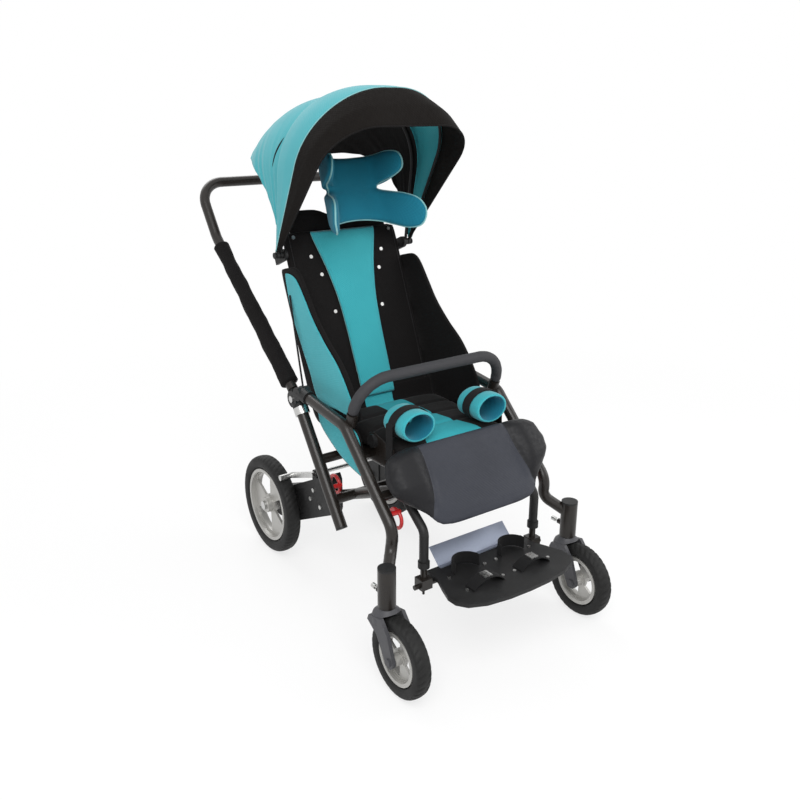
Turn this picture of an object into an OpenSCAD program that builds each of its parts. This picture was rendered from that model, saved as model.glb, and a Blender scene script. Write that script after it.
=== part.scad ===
// Special needs buggy: folding pushchair frame with a padded positioning seat,
// lateral wings, headrest, canopy, thigh cuffs, calf apron and strapped footplate.
// Millimetres, +Z up, the rider faces -Y, origin on the floor under the middle of the box.

/* [Side frames] */
// Half the distance between the two side frames
frame_x = 238; // [215:1:260]
// Radius of the arm and leg tube
tube_r = 14; // [11:0.5:16]
// Height of the handle fold joint
joint_z = 550; // [520:1:580]
// Distance of the fold joint behind the middle
joint_y = 41; // [25:1:60]
// Y of the rear end of the arm tube
arm_end_y = 14; // [5:1:18]
// Height of the rear end of the arm tube
arm_end_z = 570; // [560:1:585]
// Y of the junction of arm, leg and bumper
fork_y = -187; // [-210:1:-170]
// Height of that junction
fork_z = 545; // [530:1:560]
// Y of the bend at the foot of the leg
knee_y = -384; // [-395:1:-372]
// Height of the bend at the foot of the leg
knee_z = 354; // [345:1:365]
// Y of the lower leg bend
ankle_y = -377; // [-382:1:-370]
// Height of the lower leg bend
ankle_z = 306; // [300:1:312]
// Bend radius at the junction
fork_bend = 45; // [30:1:60]
// Bend radius at the foot of the leg
knee_bend = 50; // [44:1:52]
// Bend radius of the lower leg bend
ankle_bend = 34; // [28:1:36]

/* [Lower push tubes] */
// Radius of the lower push tube
push_r = 15; // [12:0.5:17]
// Y of the free lower end
push_end_y = -160; // [-175:1:-145]
// Height of the free lower end
push_end_z = 267; // [255:1:285]
// Wall thickness of the open end
push_wall = 3; // [2:0.5:4]
// Depth of the open end
push_bore_len = 30; // [20:1:40]
// Thickness of the plug flange
plug_flange = 5; // [3:0.5:8]
// Length of the plug spigot
plug_len = 20; // [12:1:26]

/* [Fold joint] */
// Radius of the fold bracket disc
bracket_r = 22; // [20:0.5:26]
// Half width of the fold bracket
bracket_w = 17; // [16:0.5:20]
// Radius of the handle knuckle
knuckle_r = 15; // [12:0.5:16]
// Half width of the handle knuckle
knuckle_w = 10; // [8:0.5:11]
// Side gap of the knuckle in its slot
knuckle_gap = 0.6; // [0.4:0.1:1]
// Radius of the fold pin
fold_pin_r = 5; // [4:0.5:6]
// Radius of the fold pin head
fold_head_r = 9; // [7:0.5:11]
// Thickness of the fold pin head
fold_head_t = 3; // [2:0.5:4]
// Wall of the arm socket on the bracket
arm_socket_wall = 4; // [3:0.5:5]
// Length of the arm socket on the bracket
arm_socket_len = 44; // [34:1:56]
// Length of the sliding lock collar
collar_len = 20; // [16:1:26]
// Wall of the sliding lock collar
collar_wall = 4.5; // [3:0.5:6]
// Gap between bracket and collar
collar_gap = 1; // [0.6:0.1:2]

/* [Push handle] */
// Y of the handle crossbar
handle_y = 577; // [560:1:590]
// Height of the handle crossbar
handle_z = 1046; // [1020:1:1060]
// Y of the upper handle bend
handle_bend_y = 477; // [465:1:490]
// Height of the upper handle bend
handle_bend_z = 905; // [890:1:920]
// Bend radius of the handle corners
handle_corner = 70; // [50:1:90]
// Bend radius where the handle turns up
handle_turn = 90; // [60:1:110]
// Distance from the fold pin to the start of the handle tube
handle_start = 27; // [25:1:32]
// Outer radius of the padded handle sleeve
sleeve_r = 25; // [20:0.5:28]
// Distance from the fold pin to the start of the sleeve
sleeve_start = 44; // [40:1:60]
// Length of the sleeve
sleeve_len = 488; // [420:1:500]
// Number of gathers along the sleeve
sleeve_gathers = 9; // [5:1:14]
// Depth of each gather
sleeve_fold = 3; // [1:0.5:5]

/* [Caster housings] */
// Half distance between the two steering axes
steer_x = 286; // [270:1:300]
// Y of the steering axes
steer_y = -428; // [-440:1:-415]
// Radius of the steering housing
housing_r = 21; // [19:0.5:24]
// Bottom of the steering housing
housing_z0 = 200; // [198:1:206]
// Top of the steering housing
housing_z1 = 292; // [285:1:300]
// Height where the leg meets the housing
housing_leg_z = 262; // [255:1:268]
// Radius of the steering bearing
steer_bearing_r = 15; // [13:0.5:16]
// Thickness of the steering bearing
steer_bearing_t = 10; // [8:0.5:12]
// Thickness of the housing cap
cap_t = 5; // [3:0.5:7]
// Height of the swivel lock plunger
plunger_z = 226; // [220:1:232]
// Radius of the plunger pin
plunger_r = 3; // [2.5:0.25:4]
// Radius of the plunger guide
plunger_guide_r = 7; // [6:0.5:8]
// Distance from the steering axis to the end of the guide
plunger_guide_end = 34; // [30:1:38]
// Distance from the steering axis to the pin tip
plunger_tip = 10; // [9.5:0.5:12]
// Distance from the steering axis to the knob
plunger_knob_at = 44; // [42:1:48]
// Radius of the plunger knob
plunger_knob_r = 6; // [5:0.5:8]
// Length of the plunger knob
plunger_knob_len = 12; // [8:1:14]

/* [Casters] */
// Radius of the caster tyre
caster_r = 95; // [85:1:100]
// Half width of the caster tyre
caster_half = 20; // [17:0.5:22]
// Distance of the wheel axle from the steering axis
caster_trail = 54; // [45:1:60]
// Depth of the caster tyre from tread to rim
caster_tyre_t = 31; // [27:1:37]
// Radius of the stem
stem_r = 8; // [6:0.5:9]
// Top of the fork crown
crown_z1 = 198; // [194:0.5:199]
// Radius of the fork crown
crown_r = 35; // [32:0.5:38]
// Depth of the fork crown
crown_depth = 34; // [28:1:40]
// Inner half width of the fork
fork_half = 25; // [22.5:0.5:28]
// Thickness of a fork leg
fork_leg_t = 9; // [7:0.5:11]
// Radius of the axle eye
fork_eye_r = 16; // [13:0.5:19]
// Clearance round the tyre inside the fork
tyre_clear = 4; // [3:0.5:6]
// Radius of the caster axle
caster_axle_r = 6; // [5:0.5:7]
// Radius of the caster axle head
caster_head_r = 9; // [8:0.5:11]
// Thickness of the caster axle head
caster_head_t = 4; // [3:0.5:6]
// Radius of the caster hub
caster_hub_r = 15; // [12:0.5:18]
// Half length of the caster hub
caster_hub_half = 23; // [20:0.5:24]

/* [Rear wheels] */
// Radius of the rear tyre
rear_r = 145; // [135:1:155]
// Half width of the rear tyre
rear_half = 22; // [19:0.5:24]
// Half distance between the rear wheels
rear_x = 206; // [204:1:225]
// Y of the rear axle
rear_y = 287; // [275:1:300]
// Depth of the rear tyre from tread to rim
rear_tyre_t = 37; // [33:1:45]
// Radius of the rear axle
rear_axle_r = 8; // [6:0.5:9]
// Radius of the rear hub
rear_hub_r = 23; // [20:0.5:28]
// Half length of the rear hub
rear_hub_half = 21.5; // [18:0.5:22]
// Radius of the rear axle nut
rear_nut_r = 13; // [11:0.5:15]
// Thickness of the rear axle nut
rear_nut_t = 7; // [5:0.5:9]

/* [Wheel shape] */
// Thickness of a rim ring
rim_ring = 9; // [7:0.5:12]
// Half thickness of the spoke web
web_half = 6; // [4:0.5:8]
// Number of spokes in a wheel
spokes = 3; // [3:1:6]
// Share of the turn taken by an opening
spoke_open_share = 0.52; // [0.4:0.01:0.7]
// Depth of the spoke face recess
web_recess = 2.5; // [1:0.5:4]
// Fit between tyre and rim
tyre_fit = 0.05; // [0.02:0.01:0.1]

/* [Cross members] */
// Radius of the crossbars
cross_r = 12.5; // [10:0.5:14]
// Height of the two upper crossbars
cross_z = 412; // [404:1:420]
// Half distance between the base rails
rail_x = 165; // [150:1:170]
// Radius of the base rails
rail_r = 14; // [12:0.5:16]
// Height where the lower crossbar meets the rails
low_cross_z = 324; // [318:1:330]
// Half width of a wheel carrier
carrier_half = 17; // [15:0.5:18]
// Radius of the axle boss on a carrier
carrier_boss_r = 44; // [36:1:50]
// Depth of the panels sunk in a carrier
carrier_sink = 3; // [2:0.5:5]
// Radius of a carrier bolt head
bolt_r = 6; // [5:0.5:8]
// Thickness of a carrier bolt head
bolt_t = 3; // [2:0.5:4]
// Radius of a tie-down loop
loop_r = 23; // [18:0.5:26]
// Radius of the tie-down rod
loop_rod_r = 4.5; // [3.5:0.25:5.5]
// Half distance between the tie-down loops
loop_x = 204; // [198:1:208]

/* [Brake] */
// Y of the brake shaft
brake_y = 67; // [60:1:75]
// Height of the brake shaft above the rear axle
brake_up = 168; // [166:1:173]
// Radius of the brake shaft
brake_r = 6; // [5:0.5:7]
// Radius of the shaft boss on the carrier
brake_boss_r = 12; // [10:0.5:14]
// Thickness of a brake lever
brake_lever_t = 7; // [5:0.5:8]
// Height of a brake lever
brake_lever_h = 16; // [12:0.5:20]
// Gap between tyre and brake shoe when released
brake_gap = 10; // [8:0.5:12]
// Angle round the wheel where the shoe acts
brake_angle = 130; // [125:1:135]
// Radius of the brake shoe bar
brake_shoe_r = 8; // [7:0.5:8.5]

/* [Seat] */
// Half width of the seat cushion
seat_half = 165; // [150:1:172]
// Y of the rear edge of the cushion
seat_back_y = 2; // [-4:1:6]
// Y of the front edge of the cushion
seat_front_y = -322; // [-330:1:-310]
// Height of the seat board
board_z = 449; // [440:1:455]
// Thickness of the seat board
board_t = 8; // [6:0.5:12]
// Height of the seat surface
seat_top = 502; // [490:1:515]
// Crown of the seat surface
seat_crown = 6; // [3:0.5:8]
// Edge radius of the cushions
pad_edge = 14; // [9:0.5:18]
// Half distance between the seat rails
seat_rail_x = 140; // [120:1:145]
// Radius of the seat rails
seat_rail_r = 12; // [10:0.5:13]
// Length of a saddle on a crossbar
saddle_len = 20; // [16:1:22]
// Half distance between the hip guards, inner face
guard_x = 200; // [199:0.5:206]
// Thickness of a hip guard
guard_t = 11; // [8:0.5:12]
// Half distance between the thigh cuffs
cuff_x = 112; // [100:1:116]
// Y of the middle of a cuff
cuff_y = -272; // [-285:1:-255]
// Height of the middle of a cuff
cuff_z = 558; // [552:1:566]
// Outer radius of a cuff
cuff_r = 46; // [40:1:48]
// Wall of a cuff
cuff_wall = 12; // [8:0.5:14]
// Length of a cuff
cuff_len = 84; // [60:1:95]
// Width of the band round a cuff
band_w = 28; // [20:1:36]
// Thickness of the band round a cuff
band_t = 2.4; // [1.5:0.1:4]
// Radius of a cuff knob
knob_r = 17; // [14:0.5:20]
// Thickness of a cuff knob
knob_t = 9; // [6:0.5:10]

/* [Backrest] */
// Recline of the backrest from upright
back_lean = 22; // [18:0.5:26]
// Y of the foot of the back surface
back_y = 16; // [10:1:24]
// Height of the foot of the back surface
back_z = 504; // [496:1:512]
// Height of the backrest along its slope
back_len = 478; // [440:1:500]
// Half width of the back pad
back_half = 176; // [160:1:178]
// Thickness of the black back pad
back_pad_t = 22; // [16:0.5:28]
// Thickness of the raised centre strip
strip_t = 10; // [6:0.5:14]
// Thickness of the back board
back_board_t = 6; // [4:0.5:8]
// Half distance between the back uprights
upright_x = 150; // [130:1:160]
// Radius of the back uprights
upright_r = 11; // [9:0.5:12]
// Y of the recline hinge
hinge_y = 42; // [36:1:48]
// Height of the recline hinge
hinge_z = 465; // [459:1:471]
// Radius of the hinge pins
hinge_pin_r = 6; // [5:0.5:7]
// Radius of the hinge eyes
hinge_eye_r = 14; // [12:0.5:16]
// Half distance between the wings, inner face
wing_x = 180; // [179:0.5:184]
// Thickness of a wing
wing_t = 13; // [9:0.5:14]
// Thickness of the coloured facing on a wing
leaf_t = 3; // [2:0.5:4]
// Radius of a back rivet
rivet_r = 5; // [4:0.5:7]
// Thickness of a back rivet head
rivet_t = 2; // [1:0.25:3]

/* [Headrest] */
// Radius of the headrest post
post_r = 7; // [6:0.5:8]
// Distance of the headrest in front of the back surface
head_off = 84; // [75:1:95]
// Distance of the middle of the headrest above the top of the back
head_above = 74; // [64:1:90]
// Half width of the middle of the headrest
head_half = 58; // [50:1:66]
// Half height of the middle of the headrest
head_tall = 82; // [74:1:90]
// Thickness radius of the headrest pad
head_pad = 15; // [12:0.5:18]

/* [Canopy] */
// Distance of the canopy pivot below the top of the back
canopy_below = 58.5; // [50:0.5:66]
// Distance of the canopy pivot in front of the foot line of the back
canopy_front = 0.16; // [0:0.02:2]
// Half width of the canopy at the front hoop
canopy_x = 214; // [210:1:218]
// Reach of the front hoop from the pivot
front_top = 458; // [445:1:465]
// Corner radius of the front hoop
front_corner = 196; // [150:1:205]
// Half width of the visor edge
visor_x = 205; // [200:1:214]
// Reach of the visor edge from the pivot
visor_top = 437; // [425:1:450]
// Corner radius of the visor edge
visor_corner = 115; // [90:1:150]
// Half width of the front cover at its rear seam
seam_x = 211; // [209:1:214]
// Reach of that seam from the pivot
seam_top = 404; // [400:1:415]
// Half width of the rear canopy cover
rear_cover_x = 203; // [198:1:204]
// Reach of the rear cover from the pivot
rear_top = 388; // [375:1:392]
// Corner radius of the rear cover
rear_corner = 188; // [150:1:195]
// Thickness of the canopy cloth
cloth_t = 2; // [1.5:0.25:3]
// Radius of a hoop tube
hoop_r = 4; // [3:0.25:4.5]
// Forward angle of the visor edge
visor_deg = 43; // [38:1:48]
// Forward angle of the front hoop
hoop_deg = 28; // [24:1:32]
// Forward angle of the middle hoop
mid_deg = 8; // [5:1:12]
// Backward angle of the rear edge
tail_deg = 60; // [50:1:64]
// Y of the centre of the curved hem
hem_y = 405; // [395:1:415]
// Height of the centre of the curved hem
hem_z = 888; // [880:1:896]
// Radius of the curved hem
hem_r = 238; // [228:1:246]
// Thickness of a canopy clamp
clamp_t = 8; // [6:0.5:9]
// Radius of the canopy pivot pin
canopy_pin_r = 4; // [3:0.25:5]

/* [Bumper bar] */
// Half distance between the bumper legs
bumper_x = 221; // [216:1:224]
// Y of the bumper bar
bumper_y = -225; // [-240:1:-215]
// Height of the bumper bar
bumper_z = 659; // [645:1:675]
// Corner radius of the bumper bar
bumper_corner = 84; // [70:1:86]
// Radius of the bumper foam
foam_r = 14; // [12:0.5:16]
// Radius of the bumper tube
bumper_r = 9; // [7:0.5:10]
// Outer radius of a bumper socket
socket_r = 14; // [12.5:0.5:16]
// Length of a bumper socket above the junction
socket_len = 30; // [26:1:32]
// Depth of the peg in its socket
peg_len = 20; // [16:1:22]

/* [Calf apron] */
// Half width of the flat apron panel
apron_half = 118; // [100:1:126]
// Radius of the padded apron panel
apron_pad = 15; // [12:0.5:18]
// Radius of the side bolsters
bolster_r = 40; // [32:1:44]

/* [Footrest] */
// Half distance between the hangers
hanger_x = 172; // [168:1:178]
// Y of the hangers
hanger_y = -413; // [-420:1:-405]
// Radius of the hanger sockets
hanger_r = 11; // [10:0.5:12]
// Radius of the sliding hangers
slider_r = 8; // [7:0.25:8.5]
// Height of the bend of the hanger sockets
hanger_bend_z = 345; // [340:1:350]
// Bend radius of the hanger sockets
hanger_bend = 28; // [22:1:34]
// Lower end of the hanger sockets
hanger_z0 = 252; // [248:1:262]
// Upper end of the sliding hangers
slider_top = 306; // [300:1:310]
// Height of the footplate pivot rod
pivot_z = 206; // [203:1:210]
// Radius of the footplate pivot rod
pivot_r = 7; // [6:0.5:8]
// Height of the footplate surface
plate_top = 226; // [222:1:230]
// Thickness of the footplate
plate_t = 9; // [6:0.5:12]
// Half length of a footplate knuckle
foot_knuckle = 18; // [12:1:24]
// Half width of the heel plate
heel_half = 116; // [105:1:120]
// Rise angle of the heel plate
heel_deg = 42; // [35:1:50]
// Length of the heel plate
heel_len = 52; // [40:1:58]
// Thickness of the heel plate
heel_t = 3; // [2:0.5:4]
// Width of the heel plate flange
heel_flange = 12; // [8:1:14]
// Half distance between the two feet
foot_x = 72; // [66:1:78]
// Distance of the front strap ahead of the pivot
strap_reach = 102; // [92:1:112]
// Distance of the heel loop ahead of the pivot
heel_reach = 37; // [33:1:45]
// Radius of the heel loop
heel_loop_r = 38; // [30:1:42]
// Height of the heel loop
heel_loop_h = 40; // [30:1:48]
// Radius of the arched front strap
strap_arc = 62; // [52:1:70]
// Half angle of the arched front strap
strap_deg = 46; // [38:1:52]
// Width of the front strap
strap_w = 34; // [24:1:40]
// Thickness of the straps
strap_t = 3; // [2:0.25:4]

/* [Fits] */
// Radial running fit of a shaft in its bore
fit = 0.05; // [0.02:0.01:0.1]
// Radial fit of a sliding tube
slide_fit = 0.1; // [0.08:0.01:0.1]
// Length that a cut runs past the face it opens
overrun = 40; // [30:1:60]

/* [Hidden] */
$fn = 48;
// Facets of the soft forms
soft_fn = 18;
// Facets of the channels
channel_fn = 10;
// Facets of the hoop outlines
hoop_fn = 54;

// Colours
paint = [0.13, 0.12, 0.11];
black = [0.06, 0.06, 0.07];
teal = [0.16, 0.60, 0.65];
slate = [0.20, 0.21, 0.24];
grey = [0.30, 0.30, 0.31];
silver = [0.70, 0.71, 0.72];
red = [0.70, 0.10, 0.10];
plate_blue = [0.55, 0.59, 0.64];

// Sizes that follow others
caster_rim_r = caster_r - caster_tyre_t;
rear_rim_r = rear_r - rear_tyre_t;
brake_z = rear_r + brake_up;
clamp_up = back_len - canopy_below;
clamp_off = -canopy_front;
canopy_y = back_y + clamp_off * cos(back_lean) + clamp_up * sin(back_lean);
canopy_z = back_z - clamp_off * sin(back_lean) + clamp_up * cos(back_lean);
head_along = back_len + head_above;

// Points that the tubes share
arm_end = [frame_x, arm_end_y, arm_end_z];
fork_at = [frame_x, fork_y, fork_z];
knee_at = [frame_x, knee_y, knee_z];
ankle_at = [frame_x, ankle_y, ankle_z];
leg_end = [steer_x, steer_y, housing_leg_z];
fold_at = [frame_x, joint_y, joint_z];
push_end = [frame_x, push_end_y, push_end_z];
handle_bend_at = [frame_x, handle_bend_y, handle_bend_z];
handle_at = [frame_x, handle_y, handle_z];
push_dir = unit(push_end - fold_at);
handle_dir = unit(handle_bend_at - fold_at);
handle_deg = atan2(handle_dir[2], handle_dir[1]);
arm_dir = unit(fork_at - arm_end);
bumper_base = [bumper_x, fork_y, fork_z];
bumper_at = [bumper_x, bumper_y, bumper_z];
bumper_dir = unit(bumper_at - bumper_base);
// Length of the push tube held in the bracket
push_seat_len = 8;
push_top = fold_at + push_dir * (knuckle_r + knuckle_gap + collar_gap);
collar_at = push_top + push_dir * push_seat_len + push_dir * collar_gap;
front_cross_y = leg_y(cross_z);
rear_cross_y = push_y(cross_z);
low_cross_y = push_y(low_cross_z);
axle_at = [rail_x, rear_y, rear_r];
rail_end_at = [rail_x, front_cross_y, cross_z];
rail_dir = unit(rail_end_at - axle_at);
// Distance of the rear end of a base rail from the wheel axle
rail_start_len = 195;
// Distance of the front end of a base rail from the crossbar axis
rail_stop_len = 6;

// Y of the leg axis and of the lower push tube axis at a height
function leg_y(z) = fork_y + (fork_z - z) * (knee_y - fork_y) / (fork_z - knee_z);
function push_y(z) = joint_y + (z - joint_z) * (push_end_y - joint_y) / (push_end_z - joint_z);
function unit(v) = v / norm(v);
function flip(p) = [-p[0], p[1], p[2]];
function corner_deg(a, b, c) = acos(unit(a - b) * unit(c - b));
function tangent_len(a, b, c, bend) = bend / tan(corner_deg(a, b, c) / 2);
function turn_of(ex, ey, ez) = [atan2(ey[2], ez[2]), asin(-ex[2]), atan2(ex[1], ex[0])];

// Round bar from one point to another
module bar(p, q, r) {
  d = q - p;
  translate(p)
    rotate([0, acos(d[2] / norm(d)), atan2(d[1], d[0])])
      cylinder(r = r, h = norm(d));
}

// Round bend at point b on the way from a to c
module elbow(a, b, c, r, bend) {
  u = unit(a - b);
  w = unit(c - b);
  centre = b + unit(u + w) * bend / sin(corner_deg(a, b, c) / 2);
  start = b + u * tangent_len(a, b, c, bend);
  ex = unit(start - centre);
  ez = cross(ex, -u);
  translate(centre)
    rotate(turn_of(ex, -u, ez))
      rotate_extrude(angle = 180 - corner_deg(a, b, c))
        translate([bend, 0])
          circle(r);
}

// Height of the bead where a bend meets a straight run
bead = 0.2;
// Half length of that bead
bead_half = 1.5;
// Bent tube through a list of points, one bend radius for each inner point
module pipe(pts, r, bends) {
  last = len(pts) - 1;
  for (i = [0 : last - 1]) {
    d = unit(pts[i + 1] - pts[i]);
    head = i == 0 ? 0 : tangent_len(pts[i - 1], pts[i], pts[i + 1], bends[i - 1]);
    tail = i == last - 1 ? 0 : tangent_len(pts[i], pts[i + 1], pts[i + 2], bends[i]);
    bar(pts[i] + d * head, pts[i + 1] - d * tail, r);
  }
  for (i = [1 : last - 1]) {
    elbow(pts[i - 1], pts[i], pts[i + 1], r, bends[i - 1]);
    for (k = [-1, 1]) {
      d = unit(pts[i + k] - pts[i]);
      at = pts[i] + d * tangent_len(pts[i - 1], pts[i], pts[i + 1], bends[i - 1]);
      bar(at - d * bead_half, at + d * bead_half, r + bead);
    }
  }
}

module both() {
  children();
  mirror([1, 0, 0])
    children();
}

// Round bar along X, centred on a point
module xbar(p, r, half) {
  translate(p - [half, 0, 0])
    rotate([0, 90, 0])
      cylinder(r = r, h = 2 * half);
}

// Plate in a plane across X: 2-D points are Y and Z
module xplate(x0, t) {
  translate([x0, 0, 0])
    rotate([90, 0, 90])
      linear_extrude(t)
        children();
}

module ball(p, r) {
  translate(p)
    sphere(r = r, $fn = soft_fn);
}

function back_point(p) = [p[0], back_y + p[1] * cos(back_lean) + p[2] * sin(back_lean),
  back_z - p[1] * sin(back_lean) + p[2] * cos(back_lean)];
// Place things on the backrest: Z runs up its slope, -Y faces the rider
module on_back() {
  translate([0, back_y, back_z])
    rotate([-back_lean, 0, 0])
      children();
}

// Side frames with arm, leg, steering housing, bumper socket and plunger guide
// Clear space round the stem inside the housing
stem_clear = 2;
// Length of housing kept for the lower bearing
bearing_seat = 12;
module side_frame() {
  color(paint)
    difference() {
      union() {
        pipe([arm_end, fork_at, knee_at, ankle_at, leg_end], tube_r, [fork_bend, knee_bend, ankle_bend]);
        translate([steer_x, steer_y, housing_z0])
          cylinder(r = housing_r, h = housing_z1 - housing_z0);
        bar(bumper_base, bumper_base + bumper_dir * socket_len, socket_r);
        bar([steer_x, steer_y, plunger_z], [steer_x, steer_y + plunger_guide_end, plunger_z], plunger_guide_r);
      }
      bar(bumper_base + bumper_dir * (socket_len - peg_len), bumper_base + bumper_dir * (socket_len + overrun),
        bumper_r + slide_fit);
      translate([steer_x, steer_y, housing_z0 - overrun])
        cylinder(r = steer_bearing_r + fit, h = overrun + bearing_seat);
      translate([steer_x, steer_y, housing_z0])
        cylinder(r = stem_r + stem_clear, h = housing_z1 - housing_z0);
      translate([steer_x, steer_y, housing_z1 - 2 * steer_bearing_t])
        cylinder(r = steer_bearing_r + fit, h = overrun);
      bar([steer_x, steer_y, plunger_z], [steer_x, steer_y + overrun, plunger_z], plunger_r + slide_fit);
    }
}
module side_frame_left() { side_frame(); }
module side_frame_right() { mirror([1, 0, 0]) side_frame(); }

module push_tube() {
  difference() {
    bar(push_top, push_end, push_r);
    bar(push_end - push_dir * push_bore_len, push_end + push_dir * overrun, push_r - push_wall);
  }
}
module lower_push_tubes() { color(paint) both() push_tube(); }

// Plugs in the push tubes and caps on the steering housings
// Depth of the cap spigot in its housing
cap_spigot = 6;
module tube_plugs() {
  color(black)
    both() {
      bar(push_end, push_end + push_dir * plug_flange, push_r);
      bar(push_end - push_dir * plug_len, push_end, push_r - push_wall - fit);
      translate([steer_x, steer_y, housing_z1])
        cylinder(r = housing_r, h = cap_t);
      translate([steer_x, steer_y, housing_z1 - cap_spigot])
        cylinder(r = steer_bearing_r, h = cap_spigot);
    }
}

// Fold bracket: clevis for the handle knuckle with sockets for arm and push tube
// Overlap of the arm socket behind the arm end
arm_socket_back = 8;
// Share of the bracket disc used for the joining boss
boss_share = 0.8;
// Angle that the handle folds down through
fold_swing = 72;
// Extra angle of the clevis slot
slot_margin = 48;
// Straight steps round the open end of the slot
slot_steps = 6;
slot_from = handle_deg - fold_swing - slot_margin;
slot_span = fold_swing + 2 * slot_margin;
function slot_dir(share) = [cos(slot_from + share * slot_span), sin(slot_from + share * slot_span)];
module fold_bracket() {
  difference() {
    union() {
      xbar(fold_at, bracket_r, bracket_w);
      xbar(arm_end, bracket_r * boss_share, bracket_w);
      bar(arm_end - arm_dir * arm_socket_back, arm_end + arm_dir * (arm_socket_len - arm_socket_back),
        tube_r + arm_socket_wall);
      bar(fold_at + push_dir * (fold_head_r + collar_gap), push_top + push_dir * push_seat_len,
        push_r + arm_socket_wall);
    }
    translate(fold_at)
      xplate(-knuckle_w - knuckle_gap, 2 * (knuckle_w + knuckle_gap)) {
        circle(knuckle_r + knuckle_gap);
        polygon([[0, 0], for (k = [0 : slot_steps]) overrun * slot_dir(k / slot_steps)]);
      }
    bar(arm_end, arm_end + arm_dir * (arm_socket_len + overrun), tube_r + fit);
    bar(push_top, push_top + push_dir * overrun, push_r + fit);
    xbar(fold_at, fold_pin_r + fit, overrun);
  }
}
module fold_brackets() { color(black) both() fold_bracket(); }

module crossbars() {
  color(paint) {
    difference() {
      xbar([0, front_cross_y, cross_z], cross_r, frame_x);
      both() bar(fork_at, knee_at, tube_r + fit);
    }
    difference() {
      xbar([0, rear_cross_y, cross_z], cross_r, frame_x);
      both() bar(fold_at, push_end, push_r + fit);
    }
  }
}

// Two base rails and the lower crossbar, welded together
module base_frame() {
  color(paint)
    difference() {
      union() {
        both() bar(axle_at + rail_dir * rail_start_len, rail_end_at - rail_dir * rail_stop_len, rail_r);
        xbar([0, low_cross_y, low_cross_z], cross_r, frame_x);
      }
      xbar([0, front_cross_y, cross_z], cross_r + fit, frame_x);
      both() bar(fold_at, push_end, push_r + fit);
    }
}

// Deep carrier that holds one rear wheel on the end of a base rail, outlined from the axle
carrier_pts = [[15, -39], [-92, -28], [-301, 77], [-309, 95], [-309, 179], [-299, 194], [-92, 87],
  [15, 43]];
carrier_panel = [[-95, -9], [-41, -17], [-41, 51], [-95, 69], [-155, 101], [-155, 21]];
brake_post = [[-10, -33], [12, -43], [12, 0], [-10, 0]];
// Distance of a carrier bore end from the wheel axle
carrier_bore_len = 194;
module carrier() {
  difference() {
    xplate(rail_x - carrier_half, 2 * carrier_half) {
      translate([rear_y, rear_r]) {
        polygon(carrier_pts);
        circle(carrier_boss_r);
      }
      translate([brake_y, brake_z]) {
        polygon(brake_post);
        circle(brake_boss_r);
      }
    }
    bar(axle_at + rail_dir * carrier_bore_len, rail_end_at, rail_r + fit);
    xbar([rail_x, rear_y, rear_r], rear_axle_r + fit, overrun);
    xbar([rail_x, brake_y, brake_z], brake_r + slide_fit, overrun);
    xplate(rail_x - carrier_half - overrun, overrun + carrier_sink)
      translate([rear_y, rear_r])
        polygon(carrier_panel);
    xplate(rail_x + carrier_half - carrier_sink, overrun)
      translate([rear_y, rear_r])
        polygon(carrier_panel);
  }
}
module wheel_carriers() { color(black) both() carrier(); }

// Carrier bolts and the two fold pins
bolt_places = [[-212, 117], [-195, 85], [-247, 79], [-277, 161]];
module chassis_bolts() {
  color(silver)
    both() {
      for (b = bolt_places)
        translate([rail_x + carrier_half, rear_y + b[0], rear_r + b[1]])
          rotate([0, 90, 0])
            cylinder(r = bolt_r, h = bolt_t);
      xbar(fold_at, fold_pin_r, bracket_w);
      for (s = [-1, 1])
        xbar(fold_at + s * [bracket_w + fold_head_t / 2, 0, 0], fold_head_r, fold_head_t / 2);
    }
}

// Red tie-down loops on the push tubes and the front legs
// Radius of the lug that holds a loop
lug_r = 6;
// Height of the lugs of the rear and front loops
rear_lug_z = 350;
front_lug_z = 380;
// Angle at which each loop hangs from its lug
rear_loop_deg = -13;
front_loop_deg = -64;
rear_lug_at = [loop_x, push_y(rear_lug_z), rear_lug_z];
front_lug_at = [loop_x, leg_y(front_lug_z), front_lug_z];
rear_loop_at = rear_lug_at + loop_r * [0, cos(rear_loop_deg), sin(rear_loop_deg)];
front_loop_at = front_lug_at + loop_r * [0, cos(front_loop_deg), sin(front_loop_deg)];
module tie_loop(centre, lug) {
  translate(centre)
    rotate([0, 90, 0])
      rotate_extrude()
        translate([loop_r, 0])
          circle(loop_rod_r);
  bar(lug - [loop_rod_r, 0, 0], lug + [frame_x - loop_x, 0, 0], lug_r);
}
module tie_down_loops() {
  color(red)
    both()
      difference() {
        union() {
          tie_loop(rear_loop_at, rear_lug_at);
          tie_loop(front_loop_at, front_lug_at);
        }
        bar(fork_at, knee_at, tube_r + fit);
        bar(fold_at, push_end, push_r + fit);
      }
}

// Rear axle with nuts and a spacer beside the carrier
// Radius of the spacer washer
spacer_r = 12;
// Gap between the spacer and the hub
spacer_gap = 0.4;
axle_in = rail_x - carrier_half;
axle_out = rear_x + rear_hub_half + spacer_gap;
spacer_x = rail_x + carrier_half;
spacer_len = rear_x - rear_hub_half - spacer_gap - spacer_x;
module rear_axles() {
  color(silver)
    both() {
      bar([axle_in, rear_y, rear_r], [axle_out, rear_y, rear_r], rear_axle_r);
      bar([axle_in - rear_nut_t, rear_y, rear_r], [axle_in, rear_y, rear_r], rear_nut_r);
      bar([axle_out, rear_y, rear_r], [axle_out + rear_nut_t, rear_y, rear_r], rear_nut_r);
      bar([spacer_x, rear_y, rear_r], [spacer_x + spacer_len, rear_y, rear_r], spacer_r);
    }
}

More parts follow.
